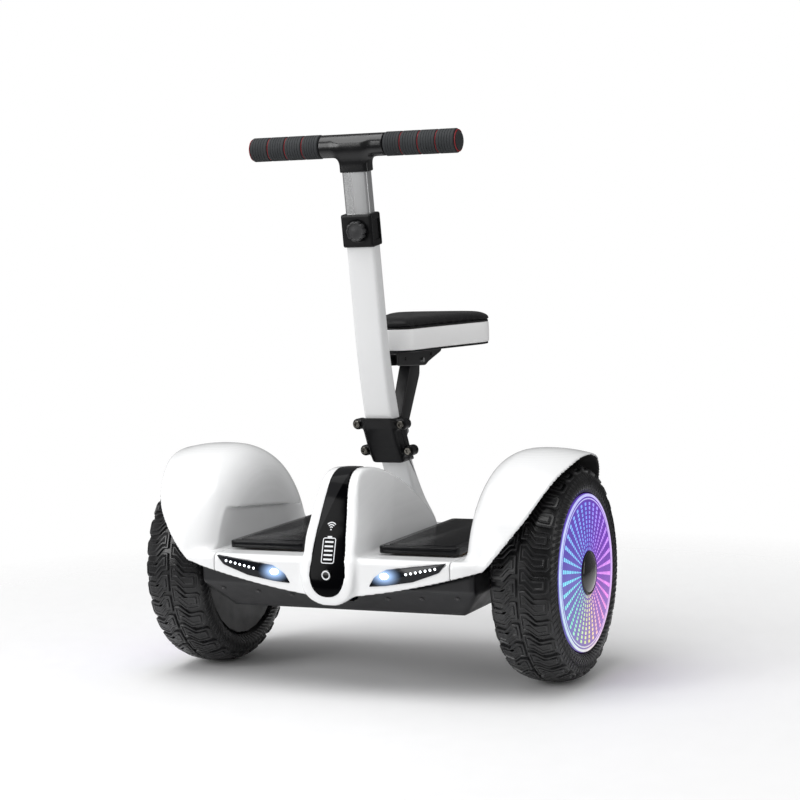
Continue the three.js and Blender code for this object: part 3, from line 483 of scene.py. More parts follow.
# ---- shells from distance fields ----
def outline_distance(u, v, points):
    """Signed distance from (u, v) to a closed outline, negative inside."""
    nearest = np.full(np.broadcast(u, v).shape, 1e12)
    inside = np.zeros(nearest.shape, bool)
    for (u0, v0), (u1, v1) in zip(points, list(points[1:]) + [points[0]]):
        du, dv = u1 - u0, v1 - v0
        t = np.clip(((u - u0) * du + (v - v0) * dv) / max(du * du + dv * dv, 1e-12), 0, 1)
        nearest = np.minimum(nearest, (u - u0 - t * du) ** 2 + (v - v0 - t * dv) ** 2)
        if dv:
            inside ^= ((v0 <= v) != (v1 <= v)) & (u < u0 + (v - v0) * du / dv)
    return np.where(inside, -1.0, 1.0) * np.sqrt(nearest)


def union(a, b, blend=0.0):
    """Distance to either of two solids, with the corner between them filled in by the blend."""
    if not blend:
        return np.minimum(a, b)
    share = np.clip(0.5 + 0.5 * (b - a) / blend, 0, 1)
    return b + (a - b) * share - blend * share * (1 - share)


def both(a, b, blend=0.0):
    """Distance to what two solids share."""
    return -union(-a, -b, blend)


def without(a, b, blend=0.0):
    """Distance to the first solid after the second is cut away."""
    return both(a, -b, blend)


def slab(value, low, high):
    """Distance outside the band from low to high."""
    return np.maximum(low - value, value - high)


def block(g, low, high, radius):
    """Signed distance to a box with rounded edges."""
    q = [np.abs(c - (low[k] + high[k]) / 2) - (high[k] - low[k]) / 2 + radius
         for k, c in enumerate((g.x, g.y, g.z))]
    outside = np.sqrt(sum(np.maximum(part, 0) ** 2 for part in q))
    return outside + np.minimum(np.maximum(np.maximum(q[0], q[1]), q[2]), 0) - radius


def rounded_box(u, v, half_u, half_v, radius):
    """Signed distance to a rounded rectangle about the origin."""
    a, b = np.abs(u) - half_u + radius, np.abs(v) - half_v + radius
    return np.hypot(np.maximum(a, 0), np.maximum(b, 0)) + np.minimum(np.maximum(a, b), 0) - radius


class Grid:
    """Evenly spaced samples in a box, in millimetres. A mirrored grid holds the right half."""

    def __init__(self, low, high, step, mirrored=True):
        self.step, self.mirrored = step, mirrored
        self.low = np.array([step / 2 if mirrored else low[0], low[1], low[2]], float)
        counts = [int(math.ceil((high[k] - self.low[k]) / step)) + 1 for k in range(3)]
        axes = [self.low[k] + step * np.arange(counts[k]) for k in range(3)]
        self.x, self.y, self.z = (axis.astype(np.float32).reshape([-1 if k == i else 1 for i in range(3)])
                                  for k, axis in enumerate(axes))
        self.shape = tuple(counts)

    def skin(self, field, half=False):
        """The zero surface as quads, with the points pulled onto it. Half keeps the right half alone."""
        field = np.broadcast_to(field, self.shape).astype(np.float32)
        low = self.low.copy()
        if self.mirrored and not half:
            field = np.concatenate([field[::-1], field], 0)
            low[0] = -low[0] - (self.shape[0] - 1) * self.step
        field = np.pad(field, 1, constant_values=self.step)
        low -= self.step
        grid = openvdb.FloatGrid(self.step * 3)
        grid.copyFromArray(np.clip(field, -self.step * 3, self.step * 3))
        points, faces = grid.convertToQuads(0.0)
        for _ in range(2):
            value, slope = sample(field, points)
            points = points - np.clip(value / self.step, -0.5, 0.5)[:, None] * slope
        return Shape().add(points * self.step + low, faces)


def sample(field, points):
    """The field and its unit slope at points given in samples."""
    def read(p):
        p = np.clip(p, 0, np.array(field.shape) - 1.001)
        i = p.astype(int)
        f = p - i
        total = 0
        for corner in np.ndindex(2, 2, 2):
            weight = np.prod(np.where(corner, f, 1 - f), axis=1)
            total = total + weight * field[tuple((i + corner).T)]
        return total
    slope = np.stack([read(points + step) - read(points - step) for step in np.eye(3) * 0.7], 1)
    slope /= np.maximum(np.linalg.norm(slope, axis=1, keepdims=True), 1e-6)
    return read(points), slope


# ---- white body ----
BODY_HALF = span("top_shell")[1][0]
LIP_X = span("fender_right")[1][0]
PAD_LOW, PAD_HIGH = span("foot_pad_right")
DECK_TOP = PAD_LOW[2] - 1.5
DECK_ROUND, SEAM, WALL = 7, 0.4, 3.0
FACE_Y = 144.0
LENS_Y = FACE_Y + 1.2
LAMP_X, LAMP_Z = 70, 140
BUTTON_PROUD, BUTTON_GAP = 1.3, 0.3
CONSOLE = smooth([(-147, 104), (-151.5, 122), (-148, 146), (-138, 178), (-127, 203), (-116, 228), (-104, 246),
                  (-86, 254), (-62, 253.5)])
# The console's line up to where it stops rising.
FRONT_Y, FRONT_Z = np.array(CONSOLE)[:-6].T
CREST = smooth([(-62, 253.5), (-40, 248), (-10, 236), (21, 219), (45, 203), (62, 190), (78, 175), (90, 158),
                (95, 145)])
PANEL_SIDE = [(113, 0), (115.5, 9.5), (120, 15.5), (127, 20), (139, 23.2), (160, 21.8), (200, 17.8),
              (228, 14.2), (246, 12.6), (256, 12)]
LAMP_OUTLINE = [(146, 157), (72, 147.5), (57, 138), (50, 127), (72, 129), (105, 134.5), (137, 146)]
DOME = smooth([(153, 88), (154.5, 104), (159, 118), (168, 131), (180, 139), (195, 143.4), (218, 144.5),
               (242, 142.6), (LIP_X, 138.2)], 4)


def lower_edge(x):
    """Height of the white body's lower edge."""
    return 112 + 36 * (np.abs(x) / 188) ** 1.5


def front_edge():
    """Front view outline of everything the white body may fill, right half."""
    low = [(x, lower_edge(x)) for x in range(-10, 189, 9)]
    sweep = smooth([(188, 148), (196, 156), (210, 173), (222, 189), (234, 206), (246, 229), (255, 247),
                    (262, 258), (LIP_X, 268)])
    return low + sweep + [(LIP_X, 300), (-10, 300)]


def dome(g):
    """Wheel cover: a profile of (x, radius) turned about the axle."""
    outline = [(153, -20)] + DOME + [(300, 120), (300, -20)]
    step = 0.5
    radii = np.arange(0, 260, step)
    table = outline_distance(g.x[:, :, 0], radii[None, :], outline)
    where = np.hypot(g.y, g.z - AXLE_Z)[0] / step
    low = where.astype(int)
    share = (where - low)[None]
    return table[:, low] * (1 - share) + table[:, low + 1] * share


def hump_width(g):
    """Half-width of the hump, narrow at its front rim and wider to the back and towards the deck."""
    fall = np.maximum(0, 256 - g.z)
    foot = 32.5 * np.sqrt(np.maximum(0, 1 - (np.maximum(0, 132 - g.z) / 29.5) ** 2))
    rim = np.minimum(21 + 12 * np.minimum(1, fall / 80) ** 0.8, foot)
    side = 25 + 14 * np.minimum(1, fall / 90) ** 0.7
    back = np.clip((g.y - np.interp(g.z, FRONT_Z, FRONT_Y)) / 90, 0, 1)
    return rim + (side - rim) * back


def hump(g):
    silhouette = [*CONSOLE, *CREST[1:], (95, 130), (-116, 130), (-116, 103), (-135, 102)]
    return both(outline_distance(g.y, g.z, silhouette), g.x - hump_width(g), 3.2)


def panel_width(z):
    return np.interp(z, *zip(*PANEL_SIDE))


def console_depth(g):
    """Distance in front of the console line, negative behind it."""
    return outline_distance(g.y, g.z, [*CONSOLE, (-30, 253), (-30, 104)])


def stem_slot(g):
    """Room for the stem to lean ten degrees to either side."""
    spread = 15 + (g.z - 120) * math.tan(math.radians(10))
    behind = [(84, 118), (84, 168), (52, 213), (30, 262), (132, 262), (132, 118)]
    return both(g.x - spread, outline_distance(g.y, g.z, behind))


def white_body(g):
    """Deck, hump and wheel covers as one shell, with its openings."""
    corner = DECK_TOP - DECK_ROUND
    deck = [(-136, 60), (-137.5, 130), (-137, corner), (137, corner), (137.5, 130), (136, 60)]
    deck = both(outline_distance(g.y, g.z, deck) - DECK_ROUND, g.x - 186, 24)
    base = union(deck, dome(g), 11)
    flat_wall = both(both(g.x - 160.5, g.z - (195 - 0.11 * g.y)), DECK_TOP - g.z)
    base = without(base, flat_wall, 0.6)
    rise = hump(g)
    keep = outline_distance(g.x, g.z, front_edge())
    outside = union(both(base, keep, 2.5), rise, 7)
    shell = without(outside, union(base + WALL, rise + WALL))
    gap = 0.7
    pad = rectangle(PAD_LOW[0] - gap, PAD_HIGH[0] + gap, PAD_LOW[1] - gap, PAD_HIGH[1] + gap, 7)
    shell = without(shell, both(outline_distance(g.x, g.y, pad), DECK_TOP - 1.2 - g.z))
    lamp = outline_distance(g.x, g.z, inset(rounded(LAMP_OUTLINE, 2), 1.0))
    shell = without(shell, both(lamp, g.y + FACE_Y - 6))
    panel = both(both(g.x - panel_width(g.z) + 1.5, 117 - g.z), both(-2.6 - console_depth(g), g.y + 66))
    shell = without(shell, panel, 0.8)
    shell = without(shell, stem_slot(g), 1.0)
    wheel_room = both(np.hypot(g.y, g.z - AXLE_Z) - 132, 178 - g.x)
    return without(shell, wheel_room)


def build_white_body():
    """Shell over the deck, and a fender at each side whose underside is dark."""
    g = Grid((0, -158, 88), (LIP_X + 4, 150, 276), VOXEL)
    low, high = span("tail_light")
    gap = 0.5
    tail = both(slab(g.z, low[2] - gap, high[2] + gap), both(g.x - high[0] - gap, 120 - g.y))
    field = without(white_body(g), tail)
    shell = g.skin(both(field, g.x - BODY_HALF))
    make("body_shell", shell, [WHITE], "chassis", ["top_shell"], 50)
    for side in SIDES:
        skin = g.skin(both(field, BODY_HALF + SEAM - g.x), half=True)
        # Faces under the dome take the dark underside finish.
        centres = np.array(skin.points)[np.array(skin.faces)].mean(axis=1)
        reach = np.hypot(centres[:, 1], centres[:, 2] - AXLE_Z)
        under = (reach < np.interp(centres[:, 0], *zip(*DOME)) - 1.8) & (centres[:, 0] > 178)
        skin.slots = under.astype(int).tolist()
        skin.moved(side=side)
        make(f"wheel_arch_{side}", skin, [WHITE, UNDERSIDE_BLACK], "chassis", [f"fender_{side}"], 50)


# ---- wheels ----
WHEEL_AT = (WHEEL_X, 0, AXLE_Z)
CROWN_RADIUS = 124
TREAD_PITCHES = 30
CARCASS_HALF = [(29, 84.5), (31, 91), (36.5, 96), (38.8, 105), (34.5, 114.5), (26, 120.4), (14, 123.4)]
CARCASS = smooth([(-x, r) for x, r in CARCASS_HALF] + [(0, 124.2)] + CARCASS_HALF[::-1], 5)
BLOCK = rounded([(1.5, 0.5), (10, 0.5), (19, 10.5), (32.5, 10.5), (35.5, 14), (35, 27), (32, 30.5),
                 (17, 30.5), (8, 21), (1.5, 21)], 1.6, 2)
CORE = rounded([(4.8, 5.5), (8.2, 5.5), (17, 15.5), (30.5, 15.5), (30, 25.5), (19, 25.5), (10, 16),
                (4.8, 16)], 1.6, 2)
FIN = rounded([(37.5, 0), (44, -3), (51, -9), (57.5, -18), (58, -14.5), (52, -4.5), (44.5, 1.6), (38, 4.4)],
              1.0, 1)
BLOCK_RIM = [(-0.9, -1.2), (0.0, 2.4), (0.5, 2.9), (1.7, 2.9)]
TREAD = [(BLOCK, [*BLOCK_RIM, (2.3, 1.9)], 1), (CORE, [*BLOCK_RIM, (2.3, 2.3)], 1),
         (FIN, [(-0.3, -1.0), (0.0, 0.48), (0.8, 0.8)], 3)]


def on_carcass(points):
    """Bends flat tread points (distance from the crown, arc length, height) round the tyre, at the origin."""
    line = np.array(CARCASS)
    steps = lengths(line)
    at = points[:, 0] + np.interp(0, line[:, 0], steps)

    def section(distance):
        return np.stack([np.interp(distance, steps, column) for column in line.T])
    slope = section(np.clip(at + 1.5, 0, steps[-1])) - section(np.clip(at - 1.5, 0, steps[-1]))
    dx, dr = slope / np.hypot(*slope)
    x, r = section(at) + np.stack([-dr, dx]) * points[:, 2]
    turn = points[:, 1] / CROWN_RADIUS
    return np.stack([x, r * np.cos(turn), r * np.sin(turn)], 1)


def tread(shape):
    """Stepped blocks with narrow grooves between them, then long fins that sweep down the sidewall.

    Each is an outline and rows of (inset, height), repeated a number of times in each pitch.
    """
    pitch = FULL_TURN * CROWN_RADIUS / TREAD_PITCHES
    for index in range(TREAD_PITCHES):
        for mirror, shift in ((1, 0.0), (-1, 0.5)):
            for outline, rows, copies in TREAD:
                for copy in range(copies):
                    start = (index + shift + copy / copies) * pitch
                    flat = [[(s * mirror, t + start, h) for s, t in inset(outline, back)] for back, h in rows]
                    shape.rings([on_carcass(np.array(ring)) for ring in flat])
    return shape


def build_tyre(side):
    shape = Shape()
    bead = [(26, 84.5), (24, 112), (-24, 112), (-26, 84.5)]
    turned(shape, [*CARCASS, *bead], 180, closed=True)
    for radius, x in ((94.5, 35.2), (98.5, 37.4)):
        turned(shape, oval(x, radius, 0.8, 0.8, 7), 120, closed=True)
    tread(shape).moved(WHEEL_AT, side=side)
    make(f"tyre_tread_{side}", shape, [RUBBER], f"wheel_{side}", [f"tyre_{side}"], 28)


def hub_dots():
    """Dashes in rows round the cover, wider towards its rim."""
    shape = Shape()
    rows, columns, half_length = 11, 36, 1.75
    for column in range(columns):
        turn = FULL_TURN * column / columns
        c, s = math.cos(turn), math.sin(turn)
        for row in range(rows):
            reach, wide = 28 + row * 5.2, 0.85 + 0.15 * row
            x = 40.1 - 1.6 * (reach / 84) ** 2
            dash = rectangle(reach - half_length, reach + half_length, -wide, wide, 0.7, 2)
            shape.rings([[(x + lift, u * c - v * s, u * s + v * c) for u, v in inset(dash, back)]
                         for lift, back in ((-0.6, 0), (0.15, 0), (0.4, 0.4))])
    return shape


def build_hub(side):
    """Lit cover, its rows of dots, the bright ring and the domed cap."""
    body = f"wheel_{side}"
    face = smooth([(35.5, 92), (37.4, 90), (38.2, 87), (39.4, 60), (40.2, 24), (40.4, 0)], 4)
    disc = turned(Shape(), [(36.5, 0), (36.5, 84), (34.4, 88), (34.4, 91.5), *face], 128)
    ring = Shape()
    for radius, x, thick in ((89.6, 37.6, 1.1), (85.6, 38.2, 0.45)):
        turned(ring, oval(x, radius, thick, thick * 1.6, 9), 128, closed=True)
    dots = hub_dots()
    top = smooth([(41.0, 23), (42.2, 22), (44, 17), (45.4, 9), (45.8, 0)], 4)
    cap = turned(Shape(), [(40.6, 0), (40.6, 22.6), *top])
    turned(cap, [(40.8, 22.8), (41.9, 24), (41.9, 25.2), (40.6, 26)], closed=True, slot=1)
    for shape in (disc, ring, dots, cap):
        shape.moved(WHEEL_AT, side=side)
    make(f"hub_disc_{side}", disc, [DISC], body, [f"light_cover_{side}"], 40)
    make(f"hub_ring_{side}", ring, [HALO], body, (), 60)
    make(f"hub_dots_{side}", dots, [DOTS], body, (), 60)
    make(f"hub_cap_dome_{side}", cap, [GLOSS, SATIN], body, [f"hub_cap_{side}"], 40)


# ---- console, lamps and pads ----
def console_point(x, z, lift):
    """A point on the console's front line at a height, moved out by lift."""
    below, y, above = np.interp((z - 2, z, z + 2), FRONT_Z, FRONT_Y)
    slope = (above - below) / 4
    long = math.hypot(1, slope)
    return np.array([x, y - lift / long, z + lift * slope / long])


def button_place():
    """Front, height of the centre and radius of the power button."""
    low, high = span("power_button")
    return low[1], (low[2] + high[2]) / 2, (high[2] - low[2]) / 2


def build_console():
    """Slightly domed glass that follows the console's line, with a round hole for the power button."""
    line = np.array(CONSOLE)
    steps = lengths(line)
    start = np.interp(PANEL_SIDE[0][0], FRONT_Z, steps[:len(FRONT_Z)])
    along = np.linspace(start, steps[-1] - 1.5, 90)
    at = np.stack([np.interp(along, steps, column) for column in line.T], 1)
    slope = np.gradient(at, axis=0)
    slope /= np.linalg.norm(slope, axis=1, keepdims=True)
    out = np.stack([-slope[:, 1], slope[:, 0]], 1)
    half = np.interp(at[:, 1], *zip(*smooth(PANEL_SIDE, 4)))
    half = np.where(at[:, 0] > -86, 12 - 0.02 * (at[:, 0] + 86), half)
    end = np.minimum(along - along[0], along[-1] - along)
    rim_width, thickness = 1.2, 2.0
    rings = []
    for share in np.linspace(-1, 1, 25):
        rim = np.clip(np.minimum((1 - abs(share)) * half, end) / rim_width, 0, 1)
        rise = np.sqrt(1 - (1 - rim) ** 2)
        lift = -0.6 + rise * (1.1 + 0.5 * (1 - share ** 2))
        face = np.column_stack([share * half, at + out * lift[:, None]])
        back = np.column_stack([share * half, at - out * thickness])
        rings.append([*face, *back[::-1]])
    panel = Shape().rings(rings)
    glass = make("console_glass", panel, [GLASS], "chassis", ["console_panel"], 50)
    front, z, radius = button_place()
    radius += BUTTON_GAP
    hole = turned(Shape(), [(-6, 0), (-6, radius), (10, radius), (10, 0)])
    bore(glass, hole.moved((0, front, z), order=(1, 0, 2)))


def stroke(shape, path, width, closed=False):
    """A thin raised line on the console, along a path of (x, height)."""
    sunk, lift = 0.4, 0.25
    path = np.array(path, float)
    along = np.roll(path, -1, 0) - np.roll(path, 1, 0)
    if not closed:
        along[0], along[-1] = path[1] - path[0], path[-1] - path[-2]
    along /= np.linalg.norm(along, axis=1, keepdims=True)
    side = np.stack([-along[:, 1], along[:, 0]], 1) * width / 2
    rings = []
    for left, right in zip(path + side, path - side):
        crown = [0.5 + 0.5 * (1 - (p[0] / panel_width(p[1])) ** 2) for p in (left, right)]
        rings.append([console_point(*left, crown[0] - sunk), console_point(*left, crown[0] + lift),
                      console_point(*right, crown[1] + lift), console_point(*right, crown[1] - sunk)])
    return shape.rings(rings, closed)


def build_icons():
    """Battery gauge with five bars, and a generic signal mark of a dot under three arcs."""
    shape = Shape()
    stroke(shape, rectangle(-7.8, 7.8, 152.5, 180, 2.4), 1.0, closed=True)
    stroke(shape, [(-2.8, 181.4), (2.8, 181.4)], 1.5)
    for bar in range(5):
        level = 156.6 + bar * 4.8
        stroke(shape, [(-5.4, level), (0, level), (5.4, level)], 1.8)
    for radius in (2.6, 5.0, 7.4):
        arc = [(math.sin(a) * radius, 189.5 + math.cos(a) * radius) for a in np.linspace(-0.75, 0.75, 9)]
        stroke(shape, arc, 1.1)
    stroke(shape, [(-0.7, 189.2), (0.7, 189.2)], 1.5)
    make("console_icons", shape, [ICON], "chassis", (), 40)


def build_button():
    """Round button with a pale ring near its rim, standing proud of the glass."""
    front, z, radius = button_place()
    rim = smooth([(0.9, radius), (0.2, radius - 0.5), (0, radius - 1.4)], 3)
    face = turned(Shape(), [(3.6, 0), (3.6, radius - 0.3), *rim, (0.35, radius - 3.0), (0.45, 0)], 48)
    turned(face, oval(0, radius - 1.7, 0.35, 0.75, 8), 64, closed=True, slot=1)
    face.moved((0, front - BUTTON_PROUD, z), order=(1, 0, 2))
    make("power_button_face", face, [GLOSS, ICON], "power_button", ["power_button"], 40)


def bulb(shape, x, z, half_x, half_z, count, rows):
    """A small dome on the headlight's face, from rows of (height, share of its size)."""
    face = 0.05 - LENS_Y
    rings = [(lift, oval(x, z, half_x * share, half_z * share, count)) for lift, share in rows]
    return shape.rings([[(u, face - lift, v) for u, v in ring] for lift, ring in rings])


def build_headlight(side):
    """Smoked lens, its row of small lamps and its main lamp."""
    lens = prism(Shape(), rounded(LAMP_OUTLINE, 2.2), "y", -LENS_Y, -FACE_Y + 5.5, 0.7)
    leds = Shape()
    for index in range(7):
        bulb(leds, 133 - index * 6.0, 150.5 - index * 1.25, 1.4, 1.4, 14,
             ((-0.6, 1), (0.2, 1), (0.7, 0.75), (0.9, 0.35)))
    lamp = bulb(Shape(), LAMP_X, LAMP_Z, 5.4, 3.6, 28, ((-0.6, 1), (0.3, 1), (1.1, 0.8), (1.5, 0.45)))
    parts = [("headlight_lens", lens, lamp_lens(side), [f"headlight_{side}"]),
             ("daylight_row", leds, LED, ()), ("main_lamp", lamp, MAIN_LAMP, ())]
    for name, shape, look, stands_for in parts:
        make(f"{name}_{side}", shape.moved(side=side), [look], "chassis", stands_for, 40)


def build_foot_pad(side):
    """Rubber pad: rounded rim, a thin bead on its front and back walls, and rows of ribs on top."""
    low, high = PAD_LOW, PAD_HIGH
    top = high[2] - 0.6
    outline = rectangle(low[0], high[0], low[1], high[1], 7, 6)
    shape = prism(Shape(), outline, "z", low[2], top, 1.0)
    prism(shape, inset(outline, 5.0), "z", top - 1, top + 0.7, 0.6)
    line = rectangle(low[0] + 6, high[0] - 6, low[2] + 1.6, top - 1.8, 2.2)
    for y in (low[1] - 0.05, high[1] + 0.05):
        tube(shape, [(u, y, v) for u, v in line], 0.45, 6)
    for y in np.linspace(low[1] + 12, high[1] - 12, 38):
        rib = rectangle(low[0] + 10, high[0] - 10, y - 1.7, y + 1.7, 1.5, 2)
        prism(shape, rib, "z", top, top + 1.3, 0.5, steps=2)
    shape.moved(side=side)
    make(f"foot_pad_rubber_{side}", shape, [PAD], f"foot_pad_{side}", [f"foot_pad_{side}"], 40)


def build_pan():
    """Lower pan with sloping walls, cut away round the hump's foot and where the axles come out."""
    g = Grid((0, -140, 84), (180, 140, 160), VOXEL)
    section = [(-132, 170), (-132, 122), (-98, 88), (98, 88), (132, 122), (132, 170)]
    ends = [(-10, 170), (-10, 88), (148, 88), (174, 119), (174, 170)]
    body = both(outline_distance(g.y, g.z, section), outline_distance(g.x, g.z, ends), 6)
    top = g.z - lower_edge(g.x) + 0.8
    lobe = [(-34, 200), (-34, 128), *oval(0, 134, 34, 34, 40)[21:39], (34, 128), (34, 200)]
    lobe = both(outline_distance(g.x, g.z, lobe), g.y + 112)
    shell = without(both(without(body, body + WALL), top, 1.0), lobe)
    shell = without(shell, both(slab(g.y, -24, 24), 106 - g.z))
    make("pan_shell", g.skin(shell), [PAN], "chassis", ["lower_pan"], 50)


def build_pan_screws():
    """Screw heads set square to the pan's sloping front and back walls."""
    screws = Shape()
    for x in (-150, -105, -62, 62, 105, 150):
        for wall in (-1, 1):
            z = 105 + 0.06 * abs(x)
            out = np.array([0, wall, -1]) / math.sqrt(2)
            axes = np.array([out, (1, 0, 0), np.cross(out, (1, 0, 0))])
            for reach, start, end, slot in ((3.4, -0.6, 0.9, 0), (1.5, 0.9, 1.05, 1)):
                profile = [(start, 0), (start, reach), (end - 0.3, reach), (end, reach - 0.4), (end, 0)]
                head = turned(Shape(), profile, 20)
                screws.add(np.array(head.points) @ axes + (x, wall * (z + 10), z), head.faces, slot)
    make("pan_screws", screws, [STEEL_BLACK, GLOSS], "chassis", (), 30)


def build_rear():
    """Rear light bar with its prisms, and the charge port's rubber cap with its tab and ring."""
    low, high = span("tail_light")
    bar = prism(Shape(), rectangle(low[0], high[0], low[2], high[2], 3), "y", low[1], high[1] + 0.4, 0.8)
    for x in np.linspace(low[0] + 6, high[0] - 6, 20):
        rib = rectangle(x - 1.8, x + 1.8, low[2] + 2, high[2] - 2, 1)
        prism(bar, rib, "y", high[1], high[1] + 1.1, 0.4, steps=2)
    make("rear_light", bar, [RED_LENS], "chassis", ["tail_light"], 40)
    low, high = span("charge_port_cap")
    cap = prism(Shape(), rectangle(low[0], high[0], low[2], high[2], 6, 6), "y", low[1], high[1], 0.9)
    x, _, z = middle("charge_port_cap")
    prism(cap, rectangle(x - 4, x + 4, low[2] + 2, low[2] + 4.4, 1.2), "y", high[1] - 0.3, high[1] + 0.8, 0.4)
    tube(cap, [(u, high[1], v) for u, v in oval(x, z, 6.2, 6.2, 40)], 0.5, 6)
    make("charge_cap_rubber", cap, [PAD], "charge_port_cap", ["charge_port_cap"], 40)


# ---- steering column ----
POST_TOP = (-20.5, 512.0)
POST_LEAN = math.radians(7.4)
POST_HALF = (18.0, 10.3)
TUBE_HALF = (16.0, 8.2)
POST_SECTIONS = [(294, 18.5, 12.6), (316, 12.4, 12.5), (346, 4.6, 11.6), (385, -3.6, 10.6), (423, -8.8, 10.3),
                 (462, -14, 10.3)]
STEM_FRONT = [(88, 124), (88, 166), (66, 206), (44, 246), (35, 268)]
STEM_REAR = [(53, 268), (64, 244), (81, 219), (98, 197), (121, 174), (130, 160), (130, 124)]
STEM_HALF = 17.5
BRACKET_LINE = [(247, 45), (268, 31), (291, 19.5), (304, 15.5)]
BRACKET_BOLTS = [(29, 296, 14), (29, 262, 33)]
KNOB_X, KNOB_HEIGHT, KNOB_RADIUS, LOBES = 1, 19, 12, 10
_, BAR_Y, BAR_Z = middle("grip_right")
NECK_LOW = 87.0
GRIP_BREAKS = (41.5, 63.5, 86.0, 108.5, 132.0)


def on_tube(x, depth, height):
    """A point from its place on the leaning tube's axis."""
    s, c = math.sin(POST_LEAN), math.cos(POST_LEAN)
    return (x, POST_TOP[0] + depth * c - height * s, POST_TOP[1] + depth * s + height * c)


def tube_axes(g):
    """Depth and height of the grid's samples on the leaning tube's axis."""
    s, c = math.sin(POST_LEAN), math.cos(POST_LEAN)
    y, z = g.y - POST_TOP[0], g.z - POST_TOP[1]
    return y * c + z * s, z * c - y * s


def hollow(rows, wall):
    """A tube of rounded-rectangle rows, each (half-width, half-depth, radius, function to space)."""
    outer = [[to_space(u, v) for u, v in rectangle(-w, w, -d, d, r)] for w, d, r, to_space in rows]
    inner = [[to_space(u, v) for u, v in rectangle(wall - w, w - wall, wall - d, d - wall, r * 0.7)]
             for w, d, r, to_space in rows[::-1]]
    return Shape().rings(outer + inner, closed=True)


def leaning(half, radius, heights):
    """Rows of a hollow tube that all stand on the leaning tube's axis."""
    return [(*half, radius, lambda u, v, h=h: on_tube(u, v, h)) for h in heights]


def build_stem():
    """Lower stem, and the hollow post whose foot curves into the bracket."""
    shape = prism(Shape(), smooth(STEM_FRONT, 5) + smooth(STEM_REAR, 5), "x", -STEM_HALF, STEM_HALF, 3.5)
    make("stem_lower", shape, [PAINT], "steering", ["lower_stem"], 50)
    radius = 4.5
    rows = [(POST_HALF[0], half, radius, lambda u, v, y=y, z=z: (u, y + v, z))
            for z, y, half in smooth(POST_SECTIONS, 4)]
    rows += leaning(POST_HALF, radius, (-6, 0, 6))
    make("stem_post", hollow(rows, 1.6), [PAINT], "steering", ["outer_post"], 50)


def build_bracket():
    """Bracket in two halves that clamp the post's foot, with bolt bosses and the seat arm's knuckle."""
    g = Grid((0, -12, 242), (37, 70, 310), FINE_VOXEL)
    front = [(y - 18, z) for z, y in BRACKET_LINE]
    back = [(y + 18, z) for z, y in BRACKET_LINE[::-1]]
    body = both(outline_distance(g.y, g.z, [*front, *back]), g.x - 22, 7)
    for x, z, y in BRACKET_BOLTS:
        boss = both(np.hypot(g.x - x, g.z - z) - 6.6, np.abs(g.y - y) - 8, 1.2)
        body = union(body, union(boss, block(g, (0, y - 7, z - 4.5), (x, y + 7, z + 4.5), 2), 3), 4)
    knuckle = [(30, 297), (56, 291), (63, 286), (63, 279), (58, 275), (50, 274), (34, 268)]
    knuckle = both(outline_distance(g.y, g.z, rounded(knuckle, 4)), g.x - 12.5, 1.5)
    knuckle = without(knuckle, both(g.x - 8, 40.5 - g.y))
    heights, depths, _ = zip(*POST_SECTIONS)
    post = rounded_box(g.x, g.y - np.interp(g.z, heights, depths), 18.3, 12.9, 4.5)
    stem = both(outline_distance(g.y, g.z, [(34, 270), (45.5, 236), (70, 236), (54.2, 270)]), g.x - 17.8)
    room = union(both(post, 293.7 - g.z), stem)
    holes = union(*[np.hypot(g.x - x, g.z - z) - 2.6 for x, z, y in BRACKET_BOLTS])
    behind = g.y - np.interp(g.z, *zip(*BRACKET_LINE))
    for name, whole, side in (("front", body, behind), ("rear", union(body, knuckle, 2), -behind)):
        half = both(without(whole, union(room, holes)), side + 0.35, 1.0)
        make(f"clamp_{name}", g.skin(half), [PLASTIC], "steering", [f"bracket_{name}"], 50)


def build_bolts():
    """Socket-head bolts through the bracket's bosses, with their nuts behind."""
    for index in range(1, 5):
        node = f"bracket_bolt_{index}"
        x, _, z = middle(node)
        front, back = (corner[1] for corner in span(node))
        profile = [(back, 0), (back, 4.4), (back - 3, 4.6), (back - 3.1, 2.4), (front + 3.7, 2.4),
                   (front + 3.6, 4.3), (front + 0.6, 4.4), (front, 3.8), (front, 2.3), (front + 1.9, 2.1),
                   (front + 2, 0)]
        bolt = turned(Shape(), profile, 24).moved((x, 0, z), order=(1, 0, 2))
        make(f"clamp_bolt_{index}", bolt, [ZINC], "steering", [node], 35)


def build_collar():
    """Collar at the top of the post: a pocket and a slit on its right, and a seat and hole for the knob."""
    g = Grid((-24, -48, 500), (24, 2, 556), FINE_VOXEL, mirrored=False)
    depth, height = tube_axes(g)
    knob = np.hypot(g.x - KNOB_X, height - KNOB_HEIGHT)
    body = both(rounded_box(g.x, depth + 1, 20.5, 13.5, 4), slab(height, -1, 38), 2.5)
    body = without(body, both(rounded_box(g.x, depth, 18.3, 10.6, 4.5), height - 6.5))
    body = without(body, rounded_box(g.x, depth, 16.4, 8.6, 3.2))
    pocket = rounded_box(depth + 1, height - 19, 8.5, 12, 3)
    body = without(body, both(pocket, 18.9 - g.x), 0.6)
    body = without(body, both(slab(depth, 5.8, 7.2), 15 - g.x))
    body = without(body, both(knob - 13, depth + 13.9), 0.5)
    body = without(body, both(knob - 3.3, depth + 4))
    make("clamp_collar", g.skin(body), [PLASTIC], "steering", ["collar"], 50)


